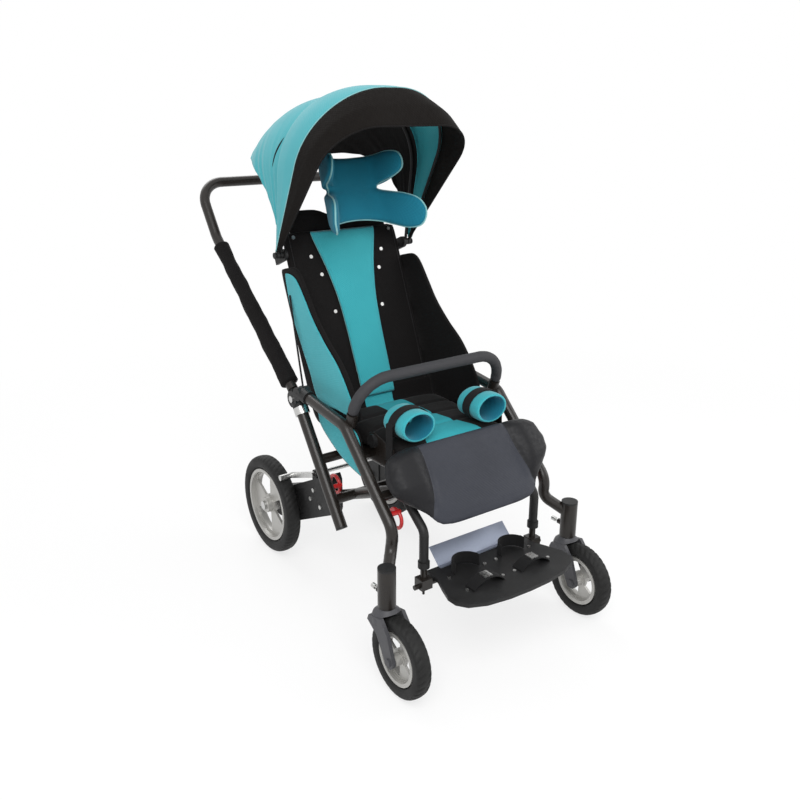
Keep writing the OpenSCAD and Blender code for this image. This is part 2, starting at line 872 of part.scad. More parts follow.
module bearing_ring(z) {
  translate([steer_x, steer_y, z])
    difference() {
      cylinder(r = steer_bearing_r, h = steer_bearing_t);
      translate([0, 0, -overrun])
        cylinder(r = stem_r + fit, h = 2 * overrun);
    }
}
module steerer_bearings() {
  color(silver)
    both() {
      bearing_ring(housing_z0 + bearing_seat - steer_bearing_t);
      bearing_ring(housing_z1 - 2 * steer_bearing_t);
    }
}

// Hanger sockets welded to the front crossbar
hanger_top = [hanger_x, front_cross_y, cross_z];
hanger_mid = [hanger_x, hanger_y, hanger_bend_z];
hanger_low = [hanger_x, hanger_y, hanger_z0];
// Radius of the clamp ring at the foot of a socket
ring_r = 14;
// Height of that clamp ring
ring_h = 16;
// Depth of the socket bore above its lower end
socket_bore = 86;
module hanger_sockets() {
  color(paint)
    both()
      difference() {
        union() {
          pipe([hanger_top, hanger_mid, hanger_low], hanger_r, [hanger_bend]);
          translate(hanger_low)
            cylinder(r = ring_r, h = ring_h);
        }
        xbar([0, front_cross_y, cross_z], cross_r + fit, frame_x);
        translate(hanger_low - [0, 0, overrun])
          cylinder(r = slider_r + slide_fit, h = overrun + socket_bore);
      }
}

// Seat frame: rails on saddles over both crossbars, board, lugs and tabs
seat_rail_z = cross_z + cross_r + seat_rail_r;
// Y where the seat rails end at the rear
seat_rail_back = 22;
// Gap left between moving cheeks
cheek_gap = 0.5;
// Half width of a backrest hinge eye
eye_half = 11.5;
// Thickness of a hinge lug on the seat frame
lug_t = 13;
// Radius of the hinge pin head
hinge_head_r = 9;
// Thickness of the hinge pin head
hinge_head_t = 3;
lug_x = upright_x - eye_half - cheek_gap;
// Thickness of the side tabs on the seat board
tab_t = 3;
// Gap between cushion and side tabs
tab_gap = 0.5;
tab_x = seat_half + tab_gap;
lug_pts = [[-48, -37], [-20, -37], [12, -7], [-6, 13], [-48, -13]];
knob_tab = [[34, 0], [138, 0], [138, 63], [118, 69], [34, 51]];
// Rear end of a hip guard tab, from the rear of the seat
guard_tab_back = -117;
// Length of a hip guard tab
guard_tab_len = 75;
// Radius of a saddle over a crossbar
saddle_r = 17;
module seat_frame() {
  color(paint)
    difference() {
      union() {
        translate([-tab_x - tab_t, seat_front_y, board_z])
          cube([2 * (tab_x + tab_t), seat_back_y - seat_front_y, board_t]);
        both() {
          bar([seat_rail_x, seat_front_y, seat_rail_z],
            [seat_rail_x, seat_rail_back, seat_rail_z], seat_rail_r);
          for (y = [front_cross_y, rear_cross_y])
            xbar([seat_rail_x, y, cross_z], saddle_r, saddle_len / 2);
          xplate(lug_x - lug_t, lug_t) {
            translate([hinge_y, hinge_z]) {
              polygon(lug_pts);
              circle(hinge_eye_r);
            }
          }
          bar([lug_x - lug_t, hinge_y, hinge_z],
            [upright_x + eye_half + cheek_gap, hinge_y, hinge_z], hinge_pin_r);
          bar([upright_x + eye_half + cheek_gap, hinge_y, hinge_z],
            [upright_x + eye_half + cheek_gap + hinge_head_t, hinge_y, hinge_z], hinge_head_r);
          xplate(tab_x, tab_t)
            translate([seat_front_y, board_z])
              polygon(knob_tab);
          translate([tab_x, seat_back_y + guard_tab_back - guard_tab_len, board_z])
            cube([guard_x - tab_x, guard_tab_len, board_t]);
        }
      }
      for (y = [front_cross_y, rear_cross_y])
        xbar([0, y, cross_z], cross_r + fit, frame_x);
    }
}

// Soft block with rounded edges: drawn-in foot, crowned top, size given by two corners
// Inset of the drawn-in foot of a cushion
foot_inset = 5;
// Inset of the crown of the seat cushion
crown_inset = 46;
// Thickness of the crown plate
crown_t = 1;
// Radius of the channels pressed into the cushions
channel_r = 5;
// Depth of those channels
channel_deep = 3;
seat_low = board_z + board_t;
channel_shares = [0.28, 0.5, 0.72];
module seat_cushion() {
  color(teal)
    difference() {
      hull() {
        for (x = [-1, 1], y = [seat_back_y - pad_edge, seat_front_y + pad_edge]) {
          ball([x * (seat_half - pad_edge), y, seat_top - pad_edge], pad_edge);
          inset = y > seat_front_y + pad_edge ? -foot_inset : foot_inset;
          translate([x * (seat_half - pad_edge - foot_inset), y + inset, seat_low])
            cylinder(r = pad_edge, h = pad_edge, $fn = soft_fn);
        }
        for (x = [-1, 1], y = [seat_back_y - crown_inset, seat_front_y + crown_inset])
        ball([x * (seat_half - crown_inset), y, seat_top + seat_crown - pad_edge], pad_edge);
      }
      for (k = channel_shares)
        xbar([0, seat_front_y + k * (seat_back_y - seat_front_y),
          seat_top + seat_crown + channel_r - channel_deep],
          channel_r, seat_half - crown_inset - 2 * channel_r, $fn = channel_fn);
    }
}

// Calf apron: thin padded panel with a bolster on each side
// Gap between the apron and the cushion that it is sewn to
apron_gap = 0.02;
// Height of the apron edge above the cushion edge
apron_rise = 8;
apron_reach = sqrt(pow(pad_edge + apron_pad + apron_gap, 2) - pow(apron_rise, 2));
apron_top = [apron_half, seat_front_y + pad_edge - apron_reach, seat_top - pad_edge + apron_rise];
// Places of the apron foot and of the bolsters from the upper edge of the apron
apron_fall = [0, -100, -131];
bolster_steps = [[88, -11, -7], [85, -50, -66], [47, -84, -96]];
apron_low = apron_top + apron_fall;
bolster_top = apron_top + bolster_steps[0];
bolster_mid = apron_top + bolster_steps[1];
bolster_low = apron_top + bolster_steps[2];
// Radius of the upper end of a bolster
bolster_top_r = 35;
// Radius of the lower end of a bolster
bolster_low_r = 28;
// Radius of the web between panel and bolster
web_r = 11;
module calf_apron() {
  color(slate) {
    hull()
      both() {
        for (p = [apron_top, apron_low])
          ball(p, apron_pad);
        for (p = [bolster_top, bolster_low])
          ball(p, web_r);
      }
    both()
      hull() {
        ball(bolster_top, bolster_top_r);
        ball(bolster_mid, bolster_r);
        ball(bolster_low, bolster_low_r);
      }
  }
}

guard_pts = [[-2, 96], [-14, 66], [-26, 40], [-74, 9], [-132, -17], [-192, -31], [-235, -35],
  [-228, -7], [-217, 21], [-200, 66], [-162, 81], [-82, 89]];
module hip_guards() {
  color(teal)
    both()
      xplate(guard_x, guard_t)
        translate([seat_back_y, board_z])
          polygon(guard_pts);
}

// Thigh cuffs: padded rings with a band and a knob on the seat tab
module cuff_ring(r0, r1, half, round_r) {
  translate([0, cuff_y, cuff_z])
    rotate([90, 0, 0])
      rotate_extrude() {
        translate([r0, -half + round_r])
          square([r1 - r0, 2 * (half - round_r)]);
        if (round_r > 0)
          for (s = [-1, 1])
            translate([(r0 + r1) / 2, s * (half - round_r)])
              circle(round_r);
      }
}
module thigh_cuffs() {
  color(teal)
    for (s = [-1, 1])
      translate([s * cuff_x, 0, 0])
        cuff_ring(cuff_r - cuff_wall, cuff_r, cuff_len / 2, cuff_wall / 2);
}
tail_x = tab_x + tab_t;
bridge_x = cuff_x + cuff_r + band_t / 2;
// Height of the bridge from band to tail
bridge_h = 10;
// Height of the foot of the band tail above the board
tail_up = 13;
module cuff_bands() {
  color(black)
    both() {
      difference() {
        union() {
          translate([cuff_x, 0, 0])
            cuff_ring(cuff_r + fit, cuff_r + band_t, band_w / 2, 0);
          translate([bridge_x, cuff_y - band_w / 2, cuff_z - bridge_h / 2])
            cube([tail_x + band_t - bridge_x, band_w, bridge_h]);
          translate([tail_x, cuff_y - band_w / 2, board_z + tail_up])
            cube([band_t, band_w, cuff_z - board_z - tail_up]);
        }
        translate([cuff_x, 0, 0])
          cuff_hole();
      }
    }
}
module cuff_hole() {
  translate([0, cuff_y + overrun, cuff_z])
    rotate([90, 0, 0])
      cylinder(r = cuff_r + fit, h = 2 * overrun);
}
// Place of a cuff knob from the front of the board
knob_place = [116, 49];
knob_at = [tail_x, seat_front_y + knob_place[0], board_z + knob_place[1]];
module cuff_knobs() {
  color(black)
    both()
      bar(knob_at, knob_at + [knob_t, 0, 0], knob_r);
}

// Webbing from the wing down to the fold bracket
// Radius of the recline straps
strap_r = 2.2;
// Height of the upper end on the back slope
strap_up = 314;
strap_top = back_point([wing_x + wing_t + leaf_t + strap_r, 0, strap_up]);
strap_low = [frame_x - bracket_w - strap_r, joint_y, joint_z + bracket_r / 2];
module recline_straps() { color(black) both() bar(strap_top, strap_low, strap_r); }

// Back frame: uprights with hinge eyes, board, top tube, headrest sleeve and wing tabs
// Y of the front of the black pad on the back slope
pad_y = 2;
board_y = pad_y + back_pad_t;
// Depth that a welded tube sinks into its plate
weld_sink = 2;
upright_y = board_y + back_board_t + upright_r - weld_sink;
hinge_local_y = (hinge_y - back_y) * cos(back_lean) - (hinge_z - back_z) * sin(back_lean);
hinge_local_z = (hinge_y - back_y) * sin(back_lean) + (hinge_z - back_z) * cos(back_lean);
// Foot of the pad on the back slope
pad_foot = 12;
// Height of a wing tab
wing_tab_h = 40;
wing_tab_shares = [0.15, 0.45, 0.72];
sleeve_low_share = 0.86;
top_tube_share = 0.97;
module back_frame() {
  color(paint)
    on_back()
      difference() {
        union() {
          translate([-back_half + upright_r, board_y, pad_foot])
            cube([2 * (back_half - upright_r), back_board_t, back_len - pad_foot]);
          both() {
            bar([upright_x, upright_y, hinge_local_z],
              [upright_x, upright_y, back_len * top_tube_share], upright_r);
            xbar([upright_x, hinge_local_y, hinge_local_z], hinge_eye_r, eye_half);
            for (k = wing_tab_shares)
              translate([upright_x, board_y, back_len * k])
                cube([wing_x - upright_x, back_board_t, wing_tab_h]);
          }
          xbar([0, upright_y, back_len * top_tube_share], upright_r, upright_x);
          bar([0, upright_y, back_len * sleeve_low_share], [0, upright_y, back_len], upright_r);
        }
        xbar([0, hinge_local_y, hinge_local_z], hinge_pin_r + fit, frame_x);
        translate([0, upright_y, -overrun])
          cylinder(r = post_r + slide_fit, h = back_len + 2 * overrun);
      }
}

// Edge radius of the back pad
back_edge = 10;
module back_pad() {
  color(black)
    on_back()
      difference() {
        hull()
          for (x = [-1, 1], z = [pad_foot, back_len])
            translate([x * (back_half - back_edge), board_y, z + (z > pad_foot ? -back_edge : back_edge)]) {
              rotate([90, 0, 0])
                cylinder(r = back_edge - foot_inset, h = crown_t, $fn = soft_fn);
              translate([0, -back_edge - crown_t, 0])
                sphere(r = back_edge, $fn = soft_fn);
              translate([-x * back_edge, pad_y - board_y + crown_t, z > pad_foot ? -back_edge : back_edge])
                rotate([90, 0, 0])
                  cylinder(r = back_edge, h = crown_t, $fn = soft_fn);
            }
        both()
          translate([back_half - 2 * back_edge - channel_r, pad_y - channel_r + channel_deep, -overrun])
            cylinder(r = channel_r, h = back_len + 2 * overrun, $fn = channel_fn);
      }
}

// Raised centre strip with its waist
strip_half = [50, 51, 53, 58, 75, 93, 102];
// Heights of those half widths, as shares of the back
strip_share = [0.0335, 0.1778, 0.4184, 0.6067, 0.795, 0.9205, 0.9874];
// Share of the back where the strip is narrowest
strip_waist_share = 0.5;
// Depth of the upper layer of the strip
strip_crown = 3;
// Inset of the upper layer of the strip
strip_inset = 9;
module strip_layer(inset, y0, t) {
  right = [for (i = [0 : len(strip_half) - 1]) [strip_half[i] - inset,
    back_len * strip_share[i] + (strip_share[i] > strip_waist_share ? -inset : inset)]];
  left = [for (i = [len(right) - 1 : -1 : 0]) [-right[i][0], right[i][1]]];
  translate([0, y0 + t, 0])
    rotate([90, 0, 0])
      linear_extrude(t)
        polygon(concat(right, left));
}
module back_strip() {
  color(teal)
    on_back() {
      strip_layer(0, pad_y - strip_t + strip_crown, strip_t - strip_crown);
      strip_layer(strip_inset, pad_y - strip_t, strip_crown);
    }
}
// Places of the rivets: across, and down from the top of the back
rivet_places = [[150, 16], [111, 71], [91, 121], [75, 223]];
module back_rivets() {
  color(silver)
    on_back()
      both()
        for (p = rivet_places)
          translate([p[0], pad_y, back_len - p[1]])
            rotate([90, 0, 0])
              cylinder(r = rivet_r, h = rivet_t);
}

// Lateral wings with a leaf-shaped facing
// Outline of a wing and of its leaf: forward places, and heights as shares of the back
wing_out = [32, -3, -38, -60, -78, -96, -128, -165, -187, -197, -192, -172, -100, 32];
wing_share = [0.8117, 0.8033, 0.7866, 0.7343, 0.6109, 0.4854, 0.3515, 0.2259, 0.0941, -0.0209, -0.0628,
  -0.0816, -0.0377, 0.0335];
leaf_out = [5, -20, -46, -67, -86, -118, -155, -177, -186, -170, -110, -24, 4, 16];
leaf_share = [0.7782, 0.7615, 0.7155, 0.6067, 0.4854, 0.3515, 0.2259, 0.0941, -0.0167, -0.0523, 0, 0.0753,
  0.387, 0.5858];
function along_back(out, shares) = [for (i = [0 : len(out) - 1]) [out[i], back_len * shares[i]]];
module wing() {
  color(black)
    on_back()
      xplate(wing_x, wing_t)
        polygon(along_back(wing_out, wing_share));
}
module wing_left() { wing(); }
module wing_right() { mirror([1, 0, 0]) wing(); }
module wing_leaves() {
  color(teal)
    on_back()
      both()
        xplate(wing_x + wing_t, leaf_t)
          polygon(along_back(leaf_out, leaf_share));
}

// Canopy clamps with their pins
// Gap between a clamp and the hoop eye beside it
clamp_gap = 1.5;
clamp_x = rear_cover_x - cloth_t - 2 * hoop_r - clamp_gap - clamp_t;
// Radius of the pivot boss of a clamp
clamp_r = 15;
// Radius of the stud from clamp to upright
stud_r = 8;
// Radius of the pin head
pin_head_r = 8;
// Thickness of the pin head
pin_head_t = 2.5;
pin_end = canopy_x + cheek_gap;
module canopy_clamps() {
  color(black)
    on_back()
      both()
        difference() {
          union() {
            xplate(clamp_x, clamp_t) {
              translate([clamp_off, clamp_up])
                circle(clamp_r);
              translate([clamp_off, clamp_up - clamp_r])
                square([upright_y + upright_r - clamp_off, 2 * clamp_r]);
            }
            bar([upright_x, upright_y, clamp_up], [clamp_x, upright_y, clamp_up], stud_r);
            bar([clamp_x, clamp_off, clamp_up], [pin_end, clamp_off, clamp_up], canopy_pin_r);
            bar([pin_end, clamp_off, clamp_up], [pin_end + pin_head_t, clamp_off, clamp_up], pin_head_r);
          }
          bar([upright_x, upright_y, 0], [upright_x, upright_y, back_len], upright_r + fit);
        }
}

// Canopy hoops and covers, all about one pivot line; angles are measured forward from upright
// Distance of the cloth from the pivot line
cloth_start = 26;
// Radius of a hoop eye
hoop_eye_r = 9;
module tilt(deg) {
  translate([0, canopy_y, canopy_z])
    rotate([deg, 0, 0])
      children();
}
module hoop(deg, half, top, corner) {
  difference() {
    tilt(deg) {
      both()
        pipe([[half, 0, 0], [half, 0, top], [0, 0, top]], hoop_r, [corner]);
      both()
        xbar([half, 0, 0], hoop_eye_r, hoop_r);
    }
    xbar([0, canopy_y, canopy_z], canopy_pin_r + fit, frame_x);
  }
}
hoop_in = cloth_t + hoop_r;
// Slack of the front hoop inside its cloth
hoop_slack = 0.6;
front_in = hoop_in + hoop_slack;
module canopy_mid_hoop() {
  color(grey)
    hoop(mid_deg, rear_cover_x - hoop_in, rear_top - hoop_in, rear_corner - hoop_in);
}
module canopy_front_hoop() {
  color(grey)
    hoop(hoop_deg, canopy_x - front_in, front_top - front_in, front_corner - front_in);
}

// Half of a hoop outline, width across and reach outward
module arch(half, top, corner, start) {
  translate([-half, start])
    square([2 * half, top - corner - start]);
  translate([-half + corner, start])
    square([2 * (half - corner), top - start]);
  for (s = [-1, 1])
    translate([s * (half - corner), top - corner])
      circle(corner);
}
// Forward edge of the rear cover
rear_front_deg = 13;
module canopy_rear_cover() {
  color(teal)
    difference() {
      translate([0, canopy_y, canopy_z])
        rotate([0, 90, 0])
          rotate([0, 0, 180 - tail_deg])
            rotate_extrude(angle = tail_deg + rear_front_deg)
              difference() {
                rotate(-90)
                  arch(rear_cover_x, rear_top, rear_corner, cloth_start);
                rotate(-90)
                  arch(rear_cover_x - cloth_t, rear_top - cloth_t, rear_corner - cloth_t, 0);
              }
      xbar([0, hem_y, hem_z], hem_r, frame_x);
    }
}
// Thickness of the slabs that span a cover
slab_t = 0.5;
module slab(deg, half, top, corner, start, t) {
  tilt(deg)
    rotate([90, 0, 0])
      translate([0, 0, -t / 2])
        linear_extrude(t)
          arch(half, top, corner, start);
}
// Cover between two hoop outlines, open below and at both ends
module cover(a, b) {
  difference() {
    hull() {
      slab(a[0], a[1], a[2], a[3], cloth_start, slab_t, $fn = hoop_fn);
      slab(b[0], b[1], b[2], b[3], cloth_start, slab_t, $fn = hoop_fn);
    }
    hull() {
      slab(a[0], a[1] - cloth_t, a[2] - cloth_t, a[3] - cloth_t, 0, 4 * slab_t, $fn = hoop_fn);
      slab(b[0], b[1] - cloth_t, b[2] - cloth_t, b[3] - cloth_t, 0, 4 * slab_t, $fn = hoop_fn);
    }
  }
}
seam_deg = mid_deg;
seam_edge = [seam_deg, seam_x, seam_top, front_corner];
hoop_edge = [hoop_deg, canopy_x, front_top, front_corner];
visor_edge = [visor_deg, visor_x, visor_top, visor_corner];
module canopy_front_cover() { color(teal) cover(seam_edge, hoop_edge); }
module canopy_visor() {
  color(black)
    difference() {
      cover(hoop_edge, visor_edge);
      hull() {
        slab(seam_deg, seam_x, seam_top, front_corner, cloth_start, slab_t, $fn = hoop_fn);
        slab(hoop_deg, canopy_x, front_top, front_corner, 0, slab_t, $fn = hoop_fn);
      }
    }
}

// Headrest on a bent post that slides in the back frame
head_at = [0, -head_off, head_along];
// Bend radius of the post
post_bend = 30;
// Length of the post inside the back
post_sunk = 148;
post_foot = back_len - post_sunk;
// Thickness of the plate behind the pad
head_plate_t = 6;
// Radius of the plate behind the pad
head_plate_r = 28;
head_back_y = -head_off + head_pad;
module headrest_post() {
  color(grey)
    on_back() {
      pipe([[0, upright_y, post_foot], [0, upright_y, head_along], [0, head_back_y, head_along]],
        post_r, [post_bend]);
      translate([0, head_back_y + head_plate_t, head_along])
        rotate([90, 0, 0])
          cylinder(r = head_plate_r, h = head_plate_t);
    }
}
// Lobes of the pad: root, elbow and tip on the right half
upper_lobe = [[40, 0, 48], [84, -30, 46], [104, -100, 32]];
lower_lobe = [[40, 0, -46], [96, -26, -66], [138, -100, -106]];
upper_lobe_r = [15, 14, 12];
lower_lobe_r = [15, 15, 14];
// Half height of the flat of an upper and a lower lobe
upper_lobe_half = 19;
lower_lobe_half = 24;
module lobe(pts, radii, half) {
  for (i = [0, 1])
    hull()
      for (j = [i, i + 1], k = [-1, 1])
        ball(head_at + pts[j] + [0, 0, k * half], radii[j]);
}
module headrest_pad() {
  color(teal)
    on_back() {
      hull()
        for (x = [-1, 1], z = [-1, 1])
          ball(head_at + [x * (head_half - head_pad), 0, z * (head_tall - head_pad)], head_pad);
      both() {
        lobe(upper_lobe, upper_lobe_r, upper_lobe_half);
        lobe(lower_lobe, lower_lobe_r, lower_lobe_half);
      }
    }
}

// Push handle: hoop with two knuckles in the fold brackets
// Half height of a knuckle neck
neck_half = 9;
// Overlap of the neck with its tube
neck_overlap = 6;
module push_handle() {
  color(paint)
    difference() {
      both() {
        pipe([fold_at + handle_dir * handle_start, handle_bend_at, handle_at, [0, handle_y, handle_z]],
          tube_r, [handle_turn, handle_corner]);
        translate(fold_at)
          xplate(-knuckle_w, 2 * knuckle_w) {
            circle(knuckle_r);
            rotate(handle_deg)
              translate([0, -neck_half])
                square([handle_start + neck_overlap, 2 * neck_half]);
          }
      }
      xbar([0, joint_y, joint_z], fold_pin_r + fit, 2 * frame_x);
    }
}

// Gathered cloth sleeves over the handle tubes
sleeve_pts = [for (i = [0 : 2 * sleeve_gathers])
  [sleeve_r - (i % 2) * sleeve_fold, sleeve_len * i / (2 * sleeve_gathers)]];
module handle_sleeves() {
  color(black)
    both()
      translate(fold_at + handle_dir * sleeve_start)
        rotate([handle_deg - 90, 0, 0])
          rotate_extrude()
            polygon(concat([[tube_r + fit, 0]], sleeve_pts, [[tube_r + fit, sleeve_len]]));
}

module lock_collar() {
  color(silver)
    difference() {
      bar(collar_at, collar_at + push_dir * collar_len, push_r + collar_wall);
      bar(collar_at - push_dir * overrun, collar_at + push_dir * (collar_len + overrun), push_r + slide_fit);
    }
}
module lock_collar_left() { lock_collar(); }
module lock_collar_right() { mirror([1, 0, 0]) lock_collar(); }

// Bumper bar: bent tube with a foam grip, pegs in the arm sockets
bumper_mid = [0, bumper_y, bumper_z];
// Gap between the socket and the foam
foam_gap = 1.5;
// Gap below the peg in its socket
peg_gap = 1;
peg_at = bumper_base + bumper_dir * (socket_len - peg_len + peg_gap);
foam_at = bumper_base + bumper_dir * (socket_len + foam_gap);
module bumper_tube() {
  color(paint)
    both()
      pipe([peg_at, bumper_at, bumper_mid], bumper_r, [bumper_corner]);
}
module bumper_foam() {
  color(slate)
    difference() {
      both()
        pipe([foam_at, bumper_at, bumper_mid], foam_r, [bumper_corner]);
      both()
        pipe([peg_at, bumper_at, bumper_mid], bumper_r + fit, [bumper_corner]);
    }
}

// Footrest: sliding hangers joined by the pivot rod
// Half size of the clamp block on a hanger
block_half = 15;
// Height of that block
block_h = 26;
// Length of its knob
block_knob = 12;
// Radius of its knob
block_knob_r = 9;
// Length of the hook screw below the block
hook_len = 18;
// Radius of the hook screw
hook_r = 3;
block_z0 = pivot_z - pivot_r;
module footrest_hangers() {
  color(paint) {
    xbar([0, hanger_y, pivot_z], pivot_r, hanger_x);
    both() {
      translate([hanger_x, hanger_y, block_z0])
        cylinder(r = slider_r, h = slider_top - block_z0);
      translate([hanger_x - block_half, hanger_y - block_half, block_z0])
        cube([2 * block_half, 2 * block_half, block_h]);
      bar([hanger_x, hanger_y, pivot_z], [hanger_x + block_half + block_knob, hanger_y, pivot_z],
        block_knob_r - hook_r);
      translate([hanger_x, hanger_y, block_z0 - hook_len])
        cylinder(r = hook_r, h = hook_len);
    }
  }
}
plate_pts = [[150, 19], [152, -27], [166, -62], [179, -99], [178, -125], [161, -149], [120, -167],
  [60, -176]];
plate_tip = [0, -178];
knuckle_x = 100;
module plate_outline() {
  left = [for (i = [len(plate_pts) - 1 : -1 : 0]) [-plate_pts[i][0], plate_pts[i][1]]];
  polygon(concat(plate_pts, [plate_tip], left));
}
module footplate() {
  color(black)
    difference() {
      union() {
        translate([0, 0, plate_top - plate_t])
          linear_extrude(plate_t)
            translate([0, hanger_y])
              plate_outline();
        both()
          translate([knuckle_x - foot_knuckle, hanger_y - foot_knuckle, pivot_z - pivot_r - heel_t])
            cube([2 * foot_knuckle, 2 * foot_knuckle, plate_top - plate_t - pivot_z + pivot_r + heel_t]);
      }
      xbar([0, hanger_y, pivot_z], pivot_r + slide_fit, frame_x);
    }
}
heel_y = hanger_y + plate_pts[0][1];
module heel_plate() {
  color(plate_blue) {
    translate([-heel_half, heel_y - heel_flange, plate_top])
      cube([2 * heel_half, heel_flange, heel_t]);
    translate([-heel_half, heel_y - heel_t, plate_top])
      rotate([heel_deg, 0, 0])
        cube([2 * heel_half, heel_len, heel_t]);
  }
}
strap_y = hanger_y - strap_reach;
heel_loop_y = hanger_y - heel_reach;
// Radius of the strap rivets
stud_rivet_r = 4;
// Height of the strap rivets
stud_rivet_h = 2.5;
// Width of a buckle
buckle_w = 24;
// Half length of a buckle
buckle_half = 11;
arc_z = plate_top - strap_arc * cos(strap_deg);
module strap_arch(r0, r1, half, w, z_cut) {
  translate([0, strap_y + w / 2, arc_z])
    rotate([90, 0, 0])
      linear_extrude(w)
        intersection() {
          difference() {
            circle(r1);
            circle(r0);
          }
          translate([-half, z_cut])
            square([2 * half, r1]);
        }
}
module foot_straps() {
  color(black)
    for (s = [-1, 1])
      translate([s * foot_x, 0, 0]) {
        strap_arch(strap_arc, strap_arc + strap_t, strap_arc + strap_t, strap_w, strap_arc * cos(strap_deg));
        translate([0, heel_loop_y, plate_top])
          rotate_extrude(angle = 180)
            translate([heel_loop_r - strap_t, 0])
              square([strap_t, heel_loop_h]);
      }
}
// Distance of the strap rivets from the middle of a foot
stud_x = 54;
module strap_buckles() {
  color(silver)
    for (s = [-1, 1])
      translate([s * foot_x, 0, 0]) {
        strap_arch(strap_arc + strap_t, strap_arc + 2 * strap_t, buckle_half, buckle_w, 0);
        both()
          for (y = [strap_y, heel_loop_y])
            translate([stud_x, y, plate_top])
              cylinder(r = stud_rivet_r, h = stud_rivet_h);
      }
}

// Caster fork, drawn about its steering axis, with the wheel axle
crown_shares = [[0.57, 0], [0.7, 0.16], [0.92, 0.36], [1, 0.6], [1, 1]];
// Corners of a fork leg: behind the crown top, round the eye, and back to the crown
leg_top_pts = [[24, -20], [-22, -10], [-48, -40]];
leg_eye_pts = [[-15, 7], [10, -13]];
leg_back_pts = [[-6, -56], [30, -34]];
fork_leg_pts = concat([for (p = leg_top_pts) p + [0, crown_z1]],
  [for (p = leg_eye_pts) p + [-caster_trail, caster_r]], [for (p = leg_back_pts) p + [0, crown_z1]]);
// Gap between the stem top and the housing cap
stem_gap = 4;
stem_top = housing_z1 - steer_bearing_t + stem_gap / 2;
axle_half = fork_half + fork_leg_t;
module caster_fork() {
  color(grey)
    translate([steer_x, steer_y, 0]) {
      difference() {
        union() {
          rotate_extrude()
            polygon(concat([for (k = crown_shares) [crown_r * k[0], crown_z1 - crown_depth * k[1]]],
              [[0, crown_z1 - crown_depth], [0, crown_z1]]));
          translate([0, 0, crown_z1 - crown_depth])
            cylinder(r = stem_r, h = stem_top - crown_z1 + crown_depth);
          both()
            xplate(fork_half, fork_leg_t) {
              polygon(fork_leg_pts);
              translate([-caster_trail, caster_r])
                circle(fork_eye_r);
            }
        }
        xbar([0, -caster_trail, caster_r], caster_r + tyre_clear, fork_half);
        xbar([0, -caster_trail, caster_r], caster_axle_r + fit, frame_x);
      }
      xbar([0, -caster_trail, caster_r], caster_axle_r, axle_half);
      for (s = [-1, 1])
        xbar([s * (axle_half + caster_head_t / 2), -caster_trail, caster_r], caster_head_r, caster_head_t / 2);
    }
}
module caster_fork_left() { caster_fork(); }
module caster_fork_right() { mirror([1, 0, 0]) caster_fork(); }

// Wheels, drawn along X at their axle
flank_share = 0.8;
module tyre(r, half, inner) {
  color(black)
    rotate([0, 90, 0])
      rotate_extrude()
        intersection() {
          union() {
            translate([r - half, 0])
              circle(half);
            translate([inner, -half * flank_share])
              square([r - half - inner, 2 * half * flank_share]);
          }
          translate([inner, -half])
            square([r - inner, 2 * half]);
        }
}
// Step between hub or ring and the spoke openings
web_edge = 3.5;
module rim(r, half, hub_r, hub_half, bore) {
  ring_in = r - tyre_fit - rim_ring;
  color(silver)
    rotate([0, 90, 0])
      difference() {
        union() {
          rotate_extrude() {
            translate([ring_in, -half * flank_share])
              square([rim_ring, 2 * half * flank_share]);
            translate([0, -web_half])
              square([ring_in + rim_ring / 2, 2 * web_half]);
            translate([0, -hub_half])
              square([hub_r, 2 * hub_half]);
          }
        }
        for (i = [0 : spokes - 1])
          rotate([0, 0, i * 360 / spokes])
            rotate_extrude(angle = 360 / spokes * spoke_open_share)
              translate([hub_r + 2 * web_edge, -overrun])
                              square([ring_in - hub_r - 4 * web_edge, 2 * overrun]);
                      for (s = [-1, 1])
          translate([0, 0, s * (web_half + overrun - web_recess)])
            rotate_extrude()
              translate([hub_r + web_edge, -overrun])
                square([ring_in - hub_r - 2 * web_edge, 2 * overrun]);
        translate([0, 0, -overrun])
          cylinder(r = bore + fit, h = 2 * overrun);
      }
}
caster_at = [steer_x, steer_y - caster_trail, caster_r];
rear_at = [rear_x, rear_y, rear_r];
module caster_tyre_left() { translate(caster_at) tyre(caster_r, caster_half, caster_rim_r); }
module caster_tyre_right() { translate(flip(caster_at)) tyre(caster_r, caster_half, caster_rim_r); }
module caster_rim_left() {
  translate(caster_at) rim(caster_rim_r, caster_half, caster_hub_r, caster_hub_half, caster_axle_r);
}
module caster_rim_right() { mirror([1, 0, 0]) caster_rim_left(); }
module rear_tyre_left() { translate(rear_at) tyre(rear_r, rear_half, rear_rim_r); }
module rear_tyre_right() { translate(flip(rear_at)) tyre(rear_r, rear_half, rear_rim_r); }
module rear_rim_left() {
  translate(rear_at) rim(rear_rim_r, rear_half, rear_hub_r, rear_hub_half, rear_axle_r);
}
module rear_rim_right() { mirror([1, 0, 0]) rear_rim_left(); }

// Brake bar: one shaft with a lever and a shoe for each rear wheel
shoe_reach = rear_r + brake_gap + brake_shoe_r;
shoe_at = [rear_y + shoe_reach * cos(brake_angle), rear_r + shoe_reach * sin(brake_angle)];
